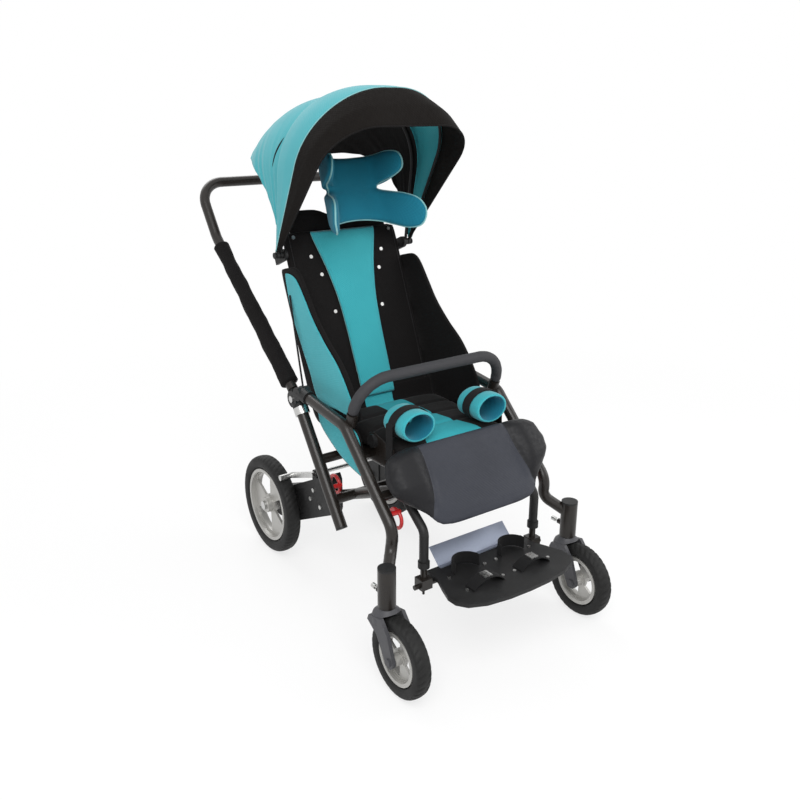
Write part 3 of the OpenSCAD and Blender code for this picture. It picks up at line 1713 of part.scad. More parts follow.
// Gap between the carrier and a brake lever
lever_gap = 3.5;
lever_x = rail_x + carrier_half + lever_gap;
lever_vec = [shoe_at[0] - brake_y, shoe_at[1] - brake_z];
module brake_bar() {
  color(silver) {
    xbar([0, brake_y, brake_z], brake_r, lever_x + brake_lever_t);
    both() {
      xplate(lever_x, brake_lever_t) {
        translate([brake_y, brake_z])
          rotate(atan2(lever_vec[1], lever_vec[0]))
            translate([0, -brake_lever_h / 2])
              square([norm(lever_vec), brake_lever_h]);
        translate([brake_y, brake_z])
          circle(brake_lever_h / 2);
      }
      bar([lever_x, shoe_at[0], shoe_at[1]], [rear_x + rear_half, shoe_at[0], shoe_at[1]], brake_shoe_r);
    }
  }
}

module lock_plunger() {
  color(silver)
    translate([steer_x, steer_y, plunger_z]) {
      bar([0, plunger_tip, 0], [0, plunger_knob_at + plunger_knob_len, 0], plunger_r);
      bar([0, plunger_knob_at, 0], [0, plunger_knob_at + plunger_knob_len, 0], plunger_knob_r);
    }
}
module lock_plunger_left() { lock_plunger(); }
module lock_plunger_right() { mirror([1, 0, 0]) lock_plunger(); }

side_frame_left();
side_frame_right();
lower_push_tubes();
tube_plugs();
fold_brackets();
crossbars();
base_frame();
wheel_carriers();
chassis_bolts();
tie_down_loops();
rear_axles();
steerer_bearings();
hanger_sockets();
seat_frame();
seat_cushion();
calf_apron();
hip_guards();
thigh_cuffs();
cuff_bands();
cuff_knobs();
recline_straps();
back_frame();
back_pad();
back_strip();
back_rivets();
wing_left();
wing_right();
wing_leaves();
canopy_clamps();
canopy_mid_hoop();
canopy_rear_cover();
canopy_front_hoop();
canopy_front_cover();
canopy_visor();
headrest_post();
headrest_pad();
push_handle();
handle_sleeves();
lock_collar_left();
lock_collar_right();
bumper_tube();
bumper_foam();
footrest_hangers();
footplate();
heel_plate();
foot_straps();
strap_buckles();
caster_fork_left();
caster_fork_right();
caster_tyre_left();
caster_tyre_right();
caster_rim_left();
caster_rim_right();
rear_tyre_left();
rear_tyre_right();
rear_rim_left();
rear_rim_right();
brake_bar();
lock_plunger_left();
lock_plunger_right();
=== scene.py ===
from math import radians, pi
import bmesh
import bpy
import numpy as np
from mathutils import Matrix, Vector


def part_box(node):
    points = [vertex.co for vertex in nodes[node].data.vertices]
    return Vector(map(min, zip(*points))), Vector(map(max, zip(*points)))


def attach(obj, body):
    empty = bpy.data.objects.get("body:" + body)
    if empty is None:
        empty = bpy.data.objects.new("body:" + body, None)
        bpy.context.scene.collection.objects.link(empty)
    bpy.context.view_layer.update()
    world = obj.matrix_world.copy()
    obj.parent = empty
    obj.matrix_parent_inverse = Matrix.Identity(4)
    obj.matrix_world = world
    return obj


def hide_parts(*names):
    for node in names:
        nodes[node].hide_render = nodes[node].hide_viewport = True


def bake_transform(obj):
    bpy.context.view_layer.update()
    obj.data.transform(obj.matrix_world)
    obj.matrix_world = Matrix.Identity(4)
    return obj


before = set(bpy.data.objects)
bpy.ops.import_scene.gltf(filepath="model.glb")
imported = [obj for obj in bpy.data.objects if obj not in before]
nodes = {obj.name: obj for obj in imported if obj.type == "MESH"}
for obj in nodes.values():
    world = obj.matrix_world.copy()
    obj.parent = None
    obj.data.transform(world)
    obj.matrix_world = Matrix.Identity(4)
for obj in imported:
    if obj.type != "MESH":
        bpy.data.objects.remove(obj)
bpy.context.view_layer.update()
scene = bpy.context.scene
scene.view_settings.view_transform = "Standard"
print("frame loaded,", len(nodes), "nodes")

mm = 0.001   # pieces are written in millimetres, Blender works in metres

# camera first, at the photograph's angle
viewpoint = {"place": (-1.2188, -1.7867, 1.2658), "tilt": 70.68, "turn": -35.49, "lens": 38.32, "sensor": 36}
camData = bpy.data.cameras.new("camera")
camData.lens = viewpoint["lens"]
camData.sensor_width = viewpoint["sensor"]
cam = bpy.data.objects.new("camera", camData)
cam.location = viewpoint["place"]
cam.rotation_euler = (radians(viewpoint["tilt"]), 0, radians(viewpoint["turn"]))
scene.collection.objects.link(cam)
scene.camera = cam


# node tools

def settle(node, values):
    # sets a node's own sockets by name
    for label, value in values.items():
        node.inputs[label].default_value = value


def sums(tree, kind, a, b=None, c=None):
    # one Math node; each value is a number or another node's output
    node = tree.nodes.new("ShaderNodeMath")
    node.operation = kind
    for socket, value in zip(node.inputs, (a, b, c)):
        if value is None:
            continue
        if isinstance(value, (int, float)):
            socket.default_value = value
        else:
            tree.links.new(value, socket)
    return node.outputs[0]


def ranged(tree, value, fromLow, fromHigh, toLow=0.0, toHigh=1.0):
    # one Map Range node: carries the first range over to the second
    node = tree.nodes.new("ShaderNodeMapRange")
    settle(node, {"From Min": fromLow, "From Max": fromHigh, "To Min": toLow, "To Max": toHigh})
    tree.links.new(value, node.inputs["Value"])
    return node.outputs["Result"]


def seenRays(tree):
    # 1 for rays that bring a surface into the picture, straight, mirrored or through glass
    rays = tree.nodes.new("ShaderNodeLightPath").outputs
    direct = sums(tree, "MAXIMUM", rays["Is Camera Ray"], rays["Is Glossy Ray"])
    return sums(tree, "MAXIMUM", direct, rays["Is Transmission Ray"])


# soft studio light: an even room that is seen as white, one broad key, one fill and one from behind
studio = {"room": 0.55,
          "lamps": {"keyLamp": {"place": (-1.5, -2.3, 2.9), "turn": (46, 0, -32), "size": 2.4, "watts": 92},
                    "fillLamp": {"place": (2.6, -1.4, 1.8), "turn": (64, 0, 62), "size": 2.2, "watts": 26},
                    "rearLamp": {"place": (0.3, 2.4, 2.7), "turn": (-48, 0, 0), "size": 2.0, "watts": 34}}}
world = bpy.data.worlds.new("studio")
scene.world = world
world.use_nodes = True
room = world.node_tree
backdrop = room.nodes["Background"]
backdrop.inputs["Color"].default_value = (1, 1, 1, 1)
room.links.new(ranged(room, seenRays(room), 0.0, 1.0, studio["room"]), backdrop.inputs["Strength"])


def areaLamp(name, place, turn, size, watts):
    data = bpy.data.lights.new(name, "AREA")
    data.energy = watts
    data.size = size
    lamp = bpy.data.objects.new(name, data)
    lamp.location = place
    lamp.rotation_euler = [radians(a) for a in turn]
    scene.collection.objects.link(lamp)


for name, rule in studio["lamps"].items():
    areaLamp(name, **rule)
print("camera and lamps set")


# surface tools

def between(low, high, share):
    return low + (high - low) * share


def span(low, high, wave):
    # the place that a wave from -1 to 1 reaches between two ends
    return (low + high) / 2 + (high - low) / 2 * wave


def ease(k):
    # soft step from 0 to 1, level at both ends
    return k * k * (3 - 2 * k)


def unit(v):
    # directions at length one
    return v / np.linalg.norm(v, axis=-1, keepdims=True)


def steps(p, axis=0):
    # length of each step along one axis of a line or grid of points
    return np.linalg.norm(np.diff(p, axis=axis), axis=-1)


def circle(count):
    # angles once round, left open at the end
    return np.linspace(0, 2 * pi, count, endpoint=False)


def column(count):
    # steps from -1 to 1, one to a row
    return np.linspace(-1, 1, count)[:, None]


def places(x, y, z):
    # points from three coordinates, each a number or an array, spread to one shape
    return np.stack(np.broadcast_arrays(x, y, z), -1)


def wavePower(angle, power):
    # sine with squared or softened shoulders: the sign of the sine times its size to a power
    s = np.sin(angle)
    return np.sign(s) * np.abs(s) ** power


def oval(t, across, over):
    # the two waves of a squared oval, across it and over it; the lower the power, the squarer its shoulders
    return wavePower(t + pi / 2, across), wavePower(t, over)


def fall(s, power, soft):
    # 1 in the middle of a run and 0 at its ends; the higher the power, the later it falls
    return (1 - np.abs(s) ** power) ** soft


def evenLine(points, count):
    # the same line with count points at equal steps of length
    p = np.asarray(points, float)
    run = np.concatenate([[0], np.cumsum(steps(p))])
    at = np.linspace(0, run[-1], count)
    return np.stack([np.interp(at, run, p[:, k]) for k in range(p.shape[1])], 1)


def smoothLine(points, count, closed=False):
    # Catmull-Rom curve through the points, resampled at equal steps along its length
    p = np.asarray(points, float)
    if closed:
        q = np.concatenate([p[-1:], p, p[:2]])
    else:
        q = np.concatenate([2 * p[:1] - p[1:2], p, 2 * p[-1:] - p[-2:-1]])
    t = np.linspace(0, 1, 24, endpoint=False)[None, :, None]
    a, b, c, d = [q[i:len(q) - 3 + i, None, :] for i in range(4)]
    fine = 2 * b + (c - a) * t + (2 * a - 5 * b + 4 * c - d) * t ** 2 + (3 * b - a - 3 * c + d) * t ** 3
    fine = np.concatenate([0.5 * fine.reshape(-1, p.shape[1]), p[:1] if closed else p[-1:]])
    return evenLine(fine, count)


def bentLine(points, radii, count):
    # straight runs joined by round bends: each corner is swapped for an arc that touches both runs
    p = [np.asarray(q, float) for q in points]
    line = [p[0][None]]
    for a, b, c, r in zip(p[:-2], p[1:-1], p[2:], radii):
        u, w = unit(a - b), unit(c - b)
        half = np.arccos(np.clip(u @ w, -1, 1)) / 2
        mid = b + unit(u + w) * r / np.sin(half)
        s = np.linspace(0, 1, 17)[:, None]
        spoke = between(b + u * r / np.tan(half) - mid, b + w * r / np.tan(half) - mid, s)
        line.append(mid + unit(spoke) * r)
    line.append(p[-1][None])
    return evenLine(np.concatenate(line), count)


def gridMesh(name, pts, wrap=False, capEnds=False):
    # quads between neighbouring rows and columns of points, in millimetres; UV is length in metres each way
    pts = np.asarray(pts, float) * mm
    m, n = pts.shape[:2]
    cells = np.meshgrid(np.arange(m - 1), np.arange(n if wrap else n - 1), indexing="ij")
    i, j = [g.ravel() for g in cells]
    k = (j + 1) % n
    quads = np.stack([i * n + j, i * n + k, (i + 1) * n + k, (i + 1) * n + j], 1).tolist()
    loop = np.concatenate([pts, pts[:, :1]], 1) if wrap else pts
    across = np.concatenate([[0], np.cumsum(steps(loop, 1).mean(0))])
    along = np.concatenate([[0], np.cumsum(steps(pts).mean(1))])
    uv = np.stack([across[np.stack([j, j + 1, j + 1, j], 1)], along[np.stack([i, i, i + 1, i + 1], 1)]], 2)
    uv = uv.reshape(-1, 2)
    if capEnds:
        quads += [list(range(n)), list(range((m - 1) * n, m * n))]
        uv = np.concatenate([uv, pts[0, :, :2], pts[-1, :, :2]])
    mesh = bpy.data.meshes.new(name)
    mesh.from_pydata(pts.reshape(-1, 3).tolist(), [], quads)
    mesh.uv_layers.new(name="UVMap").data.foreach_set("uv", uv.ravel())
    return mesh


def closeUp(mesh):
    # merges points that meet at poles and rims, and turns the faces outwards
    bm = bmesh.new()
    bm.from_mesh(mesh)
    bmesh.ops.remove_doubles(bm, verts=bm.verts, dist=1e-5)
    bmesh.ops.dissolve_degenerate(bm, edges=bm.edges, dist=1e-6)
    bmesh.ops.recalc_face_normals(bm, faces=bm.faces)
    bm.to_mesh(mesh)
    bm.free()
    return mesh


def closedForm(name, pts, capEnds=True):
    # a closed form from rows of points that each run once round
    return closeUp(gridMesh(name, pts, wrap=True, capEnds=capEnds))


def closedLoop(name, pts):
    # a closed form whose last row meets its first
    return closedForm(name, np.concatenate([pts, pts[:1]]), False)


def joined(name, meshes):
    # several meshes as one
    bm = bmesh.new()
    for m in meshes:
        bm.from_mesh(m)
    out = bpy.data.meshes.new(name)
    bm.to_mesh(out)
    bm.free()
    return out


def fit(name, mesh, finish, body, replaces=(), slot=None, fill=None):
    # puts a mesh in the scene with its finish and body, in place of the CAD nodes it stands for; slot and
    # fill are not used
    mesh.polygons.foreach_set("use_smooth", np.ones(len(mesh.polygons), bool))
    mesh.materials.clear()
    for key in finish if isinstance(finish, list) else [finish]:
        mesh.materials.append(finishes[key])
    piece = bpy.data.objects.new(name, mesh)
    scene.collection.objects.link(piece)
    if body:
        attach(piece, body)
    if replaces:
        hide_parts(*([replaces] if isinstance(replaces, str) else replaces))
    return piece


def fitTwins(name, make, *rest):
    # the same form on both sides as one piece: make(1) is the rider's left, make(-1) the right
    return fit(name, joined(name, [make(1), make(-1)]), *rest)


def twoTone(mesh, second):
    # gives the faces whose middles second picks the piece's second finish
    mid = np.zeros(len(mesh.polygons) * 3)
    mesh.polygons.foreach_get("center", mid)
    mesh.polygons.foreach_set("material_index", second(mid.reshape(-1, 3) / mm).astype(np.int32))


def rounder(piece):
    soft = piece.modifiers.new("rounder", "SUBSURF")
    soft.levels = soft.render_levels = 1


def ringAround(side, over, count):
    # a unit circle in the plane of two directions, for every row
    t = circle(count)[:, None]
    return np.cos(t) * side[:, None] + np.sin(t) * over[:, None]


def tubeAlong(line, radius, sides):
    # a circle carried along a line, its plane square to the run; radius may change by row, or by row and side
    line = np.asarray(line, float)
    run = unit(np.gradient(line, axis=0))
    up = np.array([1.0, 0, 0]) if np.abs(run[:, 0]).max() < 0.7 else np.array([0, 0.97, 0.24])
    side = unit(np.cross(up, run))
    r = np.asarray(radius, float)
    r = r[..., None] if r.ndim == 2 else np.broadcast_to(r, len(line))[:, None, None]
    return line[:, None] + ringAround(side, np.cross(run, side), sides) * r


def closedTube(name, line, radius, sides, side):
    # a round cord carried along a line that comes back to its start; side is square to the line all the way
    run = unit(np.roll(line, -1, 0) - np.roll(line, 1, 0))
    side = np.broadcast_to(np.asarray(side, float), line.shape)
    return closedLoop(name, line[:, None] + radius * ringAround(side, np.cross(run, side), sides))


flatBand = {"sides": 16, "square": (0.3, 0.5)}


def bandAlong(name, line, broad, width, thick, capEnds=True):
    # a flat woven band: a squared oval of width and thickness carried along a line, broad side one way
    line = np.asarray(line, float)
    run = unit(np.gradient(line, axis=0))
    broad = np.broadcast_to(np.asarray(broad, float), line.shape)
    flat = unit(np.cross(run, broad))
    across, over = oval(circle(flatBand["sides"])[:, None], *flatBand["square"])
    pts = line[:, None] + across * broad[:, None] * width / 2 + over * flat[:, None] * thick / 2
    return closedForm(name, pts, capEnds)


backPose = {"foot": (0, 16, 504), "lean": 22}


def alongBack(p):
    # directions from the backrest's own axes (across, out of the back, up the back) to the whole buggy's
    x, y, z = np.moveaxis(np.asarray(p, float), -1, 0)
    c, s = np.cos(radians(backPose["lean"])), np.sin(radians(backPose["lean"]))
    return places(x, y * c + z * s, z * c - y * s)


def onBack(p):
    # places on the backrest, from its own axes to the whole buggy's
    return alongBack(p) + backPose["foot"]


def atSide(outline, x):
    # a flat outline of (y, z) places stood at one distance from the middle
    return places(x, *np.transpose(outline))


def rimOf(rule, count):
    # the closed outline of a side pad, its front edge down and its rear edge back up
    return smoothLine(rule["front"] + rule["rear"][::-1][1:-1], count, closed=True)


def sidePad(name, rule, side, place=np.asarray):
    # flat pad between two edges that meet at both tips: a squared oval section carried from tip to tip
    rows, turns = rule["grid"]
    a, b = [smoothLine(place(atSide(rule[edge], side * rule["x"])), rows) for edge in ("front", "rear")]
    across, over = oval(circle(turns), *rule["square"])
    pts = between(a[:, None], b[:, None], (1 - across[:, None]) / 2)
    pts[..., 0] += rule["thick"] * over * fall(column(rows), *rule["tips"])
    return closedForm(name, pts, False)


puff = {"voxel": 0.006, "pressure": 4, "cap": 0.004, "frames": 20}


def puffUp(mesh, keepFlat):
    # blows the pad up with cloth pressure from a remeshed copy; no point moves further than the cap
    piece = bpy.data.objects.new("puffing", mesh)
    scene.collection.objects.link(piece)
    skin = piece.modifiers.new("skin", "REMESH")
    skin.mode = "VOXEL"
    skin.voxel_size = puff["voxel"]
    look = bpy.context.evaluated_depsgraph_get()
    body = bpy.data.meshes.new_from_object(piece.evaluated_get(look))
    piece.modifiers.clear()
    piece.data = body
    rest = np.zeros(len(body.vertices) * 3)
    body.vertices.foreach_get("co", rest)
    rest = rest.reshape(-1, 3)
    cloth = piece.modifiers.new("cloth", "CLOTH")
    s = cloth.settings
    s.quality = 4
    s.mass = 0.3
    s.tension_stiffness = s.compression_stiffness = 12
    s.shear_stiffness = 4
    s.bending_stiffness = 0.4
    s.use_pressure = True
    s.uniform_pressure_force = puff["pressure"]
    s.effector_weights.gravity = 0
    cloth.point_cache.frame_start = 1
    cloth.point_cache.frame_end = puff["frames"]
    for f in range(1, puff["frames"] + 1):
        scene.frame_set(f)
    grown = piece.evaluated_get(bpy.context.evaluated_depsgraph_get()).to_mesh()
    now = np.zeros(len(grown.vertices) * 3)
    grown.vertices.foreach_get("co", now)
    move = now.reshape(-1, 3) - rest
    size = np.linalg.norm(move, axis=1, keepdims=True)
    move *= np.minimum(1, puff["cap"] / np.maximum(size, 1e-9))
    rest = rest + keepFlat(rest, move)
    piece.modifiers.clear()
    scene.frame_set(1)
    body.vertices.foreach_set("co", rest.ravel())
    body.update()
    bpy.data.objects.remove(piece)
    return body


def pressed(mesh, rule):
    # moves every point by rule(points), both in millimetres
    co = np.zeros(len(mesh.vertices) * 3)
    mesh.vertices.foreach_get("co", co)
    co = co.reshape(-1, 3) / mm
    mesh.vertices.foreach_set("co", ((co + rule(co)) * mm).ravel())
    mesh.update()
    return mesh


thread = {"pitch": 5.5, "share": 0.6, "radius": 0.45, "sink": 0.4, "rings": 5, "sides": 5}


def stitchRow(line, out, pitch=thread["pitch"]):
    # short threads end to end along a line: thin tubes raised off the cloth by a cosine along each thread
    rings, sides = thread["rings"], thread["sides"]
    count = max(2, int(steps(line).sum() / pitch) + 1)
    knots = evenLine(line, count)
    lift = evenLine(out, count) if np.ndim(out) > 1 else np.broadcast_to(np.asarray(out, float), knots.shape)
    run = unit(np.diff(knots, axis=0))
    up = unit((lift[1:] + lift[:-1]) / 2)
    mid = (knots[1:] + knots[:-1]) / 2
    s = column(rings)
    high = thread["radius"] * (np.cos(pi * s) - thread["sink"]) / (1 + thread["sink"])
    spine = mid[:, None] + run[:, None] * (s * thread["share"] * pitch / 2) + up[:, None] * high
    ring = thread["radius"] * ringAround(np.cross(run, up), up, sides)
    pts = (spine[:, :, None] + ring[:, None]).reshape(-1, 3) * mm
    cells = np.meshgrid(np.arange(count - 1), np.arange(rings - 1), np.arange(sides), indexing="ij")
    k, i, j = [g.ravel() for g in cells]
    row = (k * rings + i) * sides
    a, b = row + j, row + (j + 1) % sides
    first = np.arange(count - 1)[:, None] * rings * sides + np.arange(sides)[None]
    ends = first.tolist() + (first + (rings - 1) * sides).tolist()
    mesh = bpy.data.meshes.new("stitches")
    mesh.from_pydata(pts.tolist(), [], np.stack([a, b, b + sides, a + sides], 1).tolist() + ends)
    return closeUp(mesh)


# finishes: shared effects are node groups, each material places them with its own values

def newGroup(name, knob, value, gives):
    # a group that takes a place and one number, and gives the named values
    group = bpy.data.node_groups.new(name, "ShaderNodeTree")
    group.interface.new_socket("Vector", in_out="INPUT", socket_type="NodeSocketVector")
    group.interface.new_socket(knob, in_out="INPUT", socket_type="NodeSocketFloat").default_value = value
    for label in gives:
        group.interface.new_socket(label, in_out="OUTPUT", socket_type="NodeSocketFloat")
    return group, group.nodes.new("NodeGroupInput").outputs, group.nodes.new("NodeGroupOutput").inputs


def noise(tree, vector, scale, detail=3, rough=0.55):
    node = tree.nodes.new("ShaderNodeTexNoise")
    settle(node, {"Detail": detail, "Roughness": rough})
    tree.links.new(vector, node.inputs["Vector"])
    if isinstance(scale, (int, float)):
        node.inputs["Scale"].default_value = scale
    else:
        tree.links.new(scale, node.inputs["Scale"])
    return node.outputs["Fac"]


# plain weave: the product of two sine waves across and along the cloth, with a little fuzz; the second output
# is painted shade, darker where the weave sinks and lighter on its raised threads
weave, wIn, wOut = newGroup("plainWeave", "Threads", 900.0, ("Height", "PaintedShade"))
split = weave.nodes.new("ShaderNodeSeparateXYZ")
weave.links.new(wIn["Vector"], split.inputs[0])
ways = (sums(weave, "ADD", split.outputs[0], split.outputs[2]),
        sums(weave, "SUBTRACT", split.outputs[1], split.outputs[2]))
warp, weft = [sums(weave, "SINE", sums(weave, "MULTIPLY", way, wIn["Threads"])) for way in ways]
cross = sums(weave, "MULTIPLY", warp, weft)
fuzz = noise(weave, wIn["Vector"], 700.0, 2)
weave.links.new(sums(weave, "MULTIPLY_ADD", fuzz, 0.6, cross), wOut["Height"])
# painted shade: the colour follows the weave's height, dark in its hollows
weave.links.new(sums(weave, "MULTIPLY_ADD", cross, 0.5, 0.5), wOut["PaintedShade"])

# cloudy change of tone over a hand's width, with a finer cloud inside it
cloud, cIn, cOut = newGroup("cloudyTone", "Scale", 9.0, ("Tone", "Fine"))
cloud.links.new(noise(cloud, cIn["Vector"], cIn["Scale"], 4), cOut["Tone"])
cloud.links.new(noise(cloud, cIn["Vector"], sums(cloud, "MULTIPLY", cIn["Scale"], 14.0)), cOut["Fine"])

# moulded grain: small cells with a fine noise between them
grain, gIn, gOut = newGroup("mouldedGrain", "Scale", 650.0, ("Height", "Rub"))
cells = grain.nodes.new("ShaderNodeTexVoronoi")
for label in ("Vector", "Scale"):
    grain.links.new(gIn[label], cells.inputs[label])
grit = noise(grain, gIn["Vector"], 900.0, 2)
grain.links.new(sums(grain, "ADD", cells.outputs["Distance"], grit), gOut["Height"])
grain.links.new(noise(grain, gIn["Vector"], 22.0, 4), gOut["Rub"])

# rubbed patches and hairline scratches, as a mask
rubbed, rIn, rOut = newGroup("rubbedMarks", "Reach", 0.5, ("Mask",))
stretch = rubbed.nodes.new("ShaderNodeVectorMath")
stretch.operation = "MULTIPLY"
stretch.inputs[1].default_value = (1, 0.25, 3)
rubbed.links.new(rIn["Vector"], stretch.inputs[0])
scratch = ranged(rubbed, noise(rubbed, stretch.outputs[0], 60.0, 8, 0.7), 0.56, 0.78)
rubbed.links.new(sums(rubbed, "MULTIPLY", scratch, rIn["Reach"]), rOut["Mask"])


def startFinish(name, useUv=False):
    # a material, its tree, its shader and the place that its patterns read
    material = bpy.data.materials.new(name)
    material.use_nodes = True
    tree = material.node_tree
    if useUv:
        where = tree.nodes.new("ShaderNodeUVMap")
        where.uv_map = "UVMap"
        return material, tree, tree.nodes["Principled BSDF"], where.outputs["UV"]
    where = tree.nodes.new("ShaderNodeTexCoord")
    return material, tree, tree.nodes["Principled BSDF"], where.outputs["Object"]


def placeGroup(tree, group, vector, **values):
    node = tree.nodes.new("ShaderNodeGroup")
    node.node_tree = group
    tree.links.new(vector, node.inputs["Vector"])
    settle(node, values)
    return node.outputs


def mixed(tree, factor):
    # a colour mix whose two colours are still to be given
    mix = tree.nodes.new("ShaderNodeMix")
    mix.data_type = "RGBA"
    tree.links.new(factor, mix.inputs["Factor"])
    return mix


def toned(tree, low, high, factor):
    # colour between two tones
    mix = mixed(tree, factor)
    settle(mix, {"A": (*low, 1), "B": (*high, 1)})
    return mix.outputs["Result"]


def rubTone(tree, low, high, tone, mask):
    # colour between two tones, paler where the surface is rubbed
    return toned(tree, low, high, sums(tree, "MULTIPLY_ADD", tone, 0.6, mask))


def dressed(tree, shader, colour, rough, height, strength, depth, plain):
    # links colour, roughness and bump, and sets the shader's plain sockets; rough is a value and its two ends
    tree.links.new(colour, shader.inputs["Base Color"])
    value, (smooth, dull) = rough
    tree.links.new(ranged(tree, value, 0.3, 0.7, smooth, dull), shader.inputs["Roughness"])
    bump = tree.nodes.new("ShaderNodeBump")
    settle(bump, {"Strength": strength, "Distance": depth})
    tree.links.new(height, bump.inputs["Height"])
    tree.links.new(bump.outputs["Normal"], shader.inputs["Normal"])
    settle(shader, plain)


def clothFinish(name, low, high, threads=900.0, useUv=True, sheen=0.25, strength=0.35, shine=0.25):
    # woven cloth: tone from the cloud, painted shade from the weave's hollows, bump from the weave
    material, tree, shader, where = startFinish(name, useUv)
    woven = placeGroup(tree, weave, where, Threads=threads)
    tone = placeGroup(tree, cloud, where, Scale=7.0)
    share = sums(tree, "MULTIPLY_ADD", tone["Tone"], 0.75, sums(tree, "MULTIPLY", woven["PaintedShade"], 0.25))
    colour = toned(tree, low, high, share)
    dressed(tree, shader, colour, (tone["Fine"], (0.78, 0.92)), woven["Height"], strength, 0.0005,
            {"Sheen Weight": sheen, "Sheen Roughness": 0.5, "Specular IOR Level": shine})
    return material


def mouldedFinish(name, low, high, rough=(0.42, 0.6), scale=650.0, strength=0.15):
    # plastic, foam or rubber: tone, gloss and bump from the moulded grain
    material, tree, shader, where = startFinish(name)
    skin = placeGroup(tree, grain, where, Scale=scale)
    marks = placeGroup(tree, rubbed, where, Reach=0.35)
    colour = rubTone(tree, low, high, skin["Rub"], marks["Mask"])
    dressed(tree, shader, colour, (skin["Rub"], rough), skin["Height"], strength, 0.0004,
            {"Specular IOR Level": 0.3})
    return material


def paintFinish(name, low, high, rough=(0.26, 0.42), metal=0.0, coat=0.3, shine=0.5):
    # paint or metal: tone and gloss from the cloud, with rubbed marks
    material, tree, shader, where = startFinish(name)
    tone = placeGroup(tree, cloud, where, Scale=16.0)
    marks = placeGroup(tree, rubbed, where, Reach=0.3)
    colour = rubTone(tree, low, high, tone["Tone"], marks["Mask"])
    dressed(tree, shader, colour, (tone["Fine"], rough), tone["Fine"], 0.05, 0.0003,
            {"Metallic": metal, "Specular IOR Level": shine, "Coat Weight": coat, "Coat Roughness": 0.2})
    return material


def seamFinish(name, edge, rule):
    # two cloths that meet at a seam; edge gives the half width of the inner one
    material, tree, shader, where = startFinish(name)
    parts = tree.nodes.new("ShaderNodeSeparateXYZ")
    tree.links.new(where, parts.inputs[0])
    side = sums(tree, "SUBTRACT", sums(tree, "ABSOLUTE", parts.outputs[0]), edge(tree, parts.outputs))
    woven = placeGroup(tree, weave, where, Threads=rule["threads"])
    tone = placeGroup(tree, cloud, where, Scale=8.0)
    meet = mixed(tree, sums(tree, "GREATER_THAN", side, 0.0))
    tree.links.new(toned(tree, *rule["inner"], tone["Tone"]), meet.inputs["A"])
    tree.links.new(toned(tree, *rule["outer"], tone["Tone"]), meet.inputs["B"])
    dressed(tree, shader, meet.outputs["Result"], (tone["Fine"], rule["rough"]), woven["Height"], 0.1, 0.0005,
            {"Specular IOR Level": rule["shine"], "Sheen Weight": rule["sheen"]})
    return material


def flared(tree, way, start, flare, length):
    # half width in metres: start, grown by flare with the square of the way over that length
    return sums(tree, "MULTIPLY_ADD", sums(tree, "MULTIPLY", way, way), flare / mm / length ** 2, start * mm)


finishes = {
    "teal": clothFinish("tealFabric", (0.024, 0.30, 0.35), (0.050, 0.43, 0.48)),
    "pipe": clothFinish("palePiping", (0.16, 0.40, 0.42), (0.26, 0.52, 0.53), 1400.0),
    "black": clothFinish("blackFabric", (0.005, 0.0045, 0.0045), (0.011, 0.010, 0.010), 820.0,
                         sheen=0.02, shine=0.1),
    "visor": clothFinish("visorFabric", (0.005, 0.0042, 0.0037), (0.011, 0.0092, 0.0083), 820.0,
                         sheen=0.015, shine=0.08),
    # darker copy of the teal cloth: painted shade of the canopy on the headrest; inside the cuffs it is
    # partly the lining's deeper teal and partly painted shade
    "tealDeep": clothFinish("deepTealPaintedShadeFabric", (0.006, 0.125, 0.20), (0.015, 0.20, 0.285),
                            sheen=0.08, shine=0.15),
    "tealThread": clothFinish("tealThread", (0.05, 0.40, 0.45), (0.12, 0.52, 0.56), 3000.0, False),
    "greyThread": clothFinish("greyThread", (0.02, 0.02, 0.022), (0.06, 0.06, 0.064), 3000.0, False),
    "webbing": clothFinish("blackWebbing", (0.006, 0.006, 0.006), (0.018, 0.018, 0.019), 1500.0,
                           sheen=0.03, strength=0.6, shine=0.12),
    "foam": mouldedFinish("gripFoam", (0.030, 0.030, 0.033), (0.055, 0.055, 0.060), (0.62, 0.8), 500.0, 0.3),
    "paint": paintFinish("framePaint", (0.009, 0.007, 0.0057), (0.021, 0.0168, 0.0141),
                         coat=0.12, shine=0.35),
    "plastic": mouldedFinish("blackPlastic", (0.008, 0.008, 0.008), (0.022, 0.022, 0.023)),
    "forkGrey": mouldedFinish("forkGrey", (0.050, 0.050, 0.055), (0.085, 0.085, 0.092), (0.38, 0.55)),
    "steel": paintFinish("zincSteel", (0.50, 0.50, 0.49), (0.66, 0.66, 0.65), (0.22, 0.4), 1.0, 0.0),
    "red": paintFinish("redPaint", (0.42, 0.010, 0.012), (0.60, 0.024, 0.022), (0.3, 0.45)),
    "plate": paintFinish("plateMetal", (0.24, 0.27, 0.35), (0.34, 0.38, 0.47), (0.3, 0.5), 0.5, 0.1),
    "rim": paintFinish("rimSilver", (0.36, 0.355, 0.335), (0.50, 0.49, 0.47), (0.3, 0.45), 0.35, 0.25),
    "tyre": mouldedFinish("tyreRubber", (0.006, 0.006, 0.006), (0.015, 0.015, 0.0145),
                          (0.55, 0.75), 420.0, 0.25),
}
print("finishes made:", len(finishes))

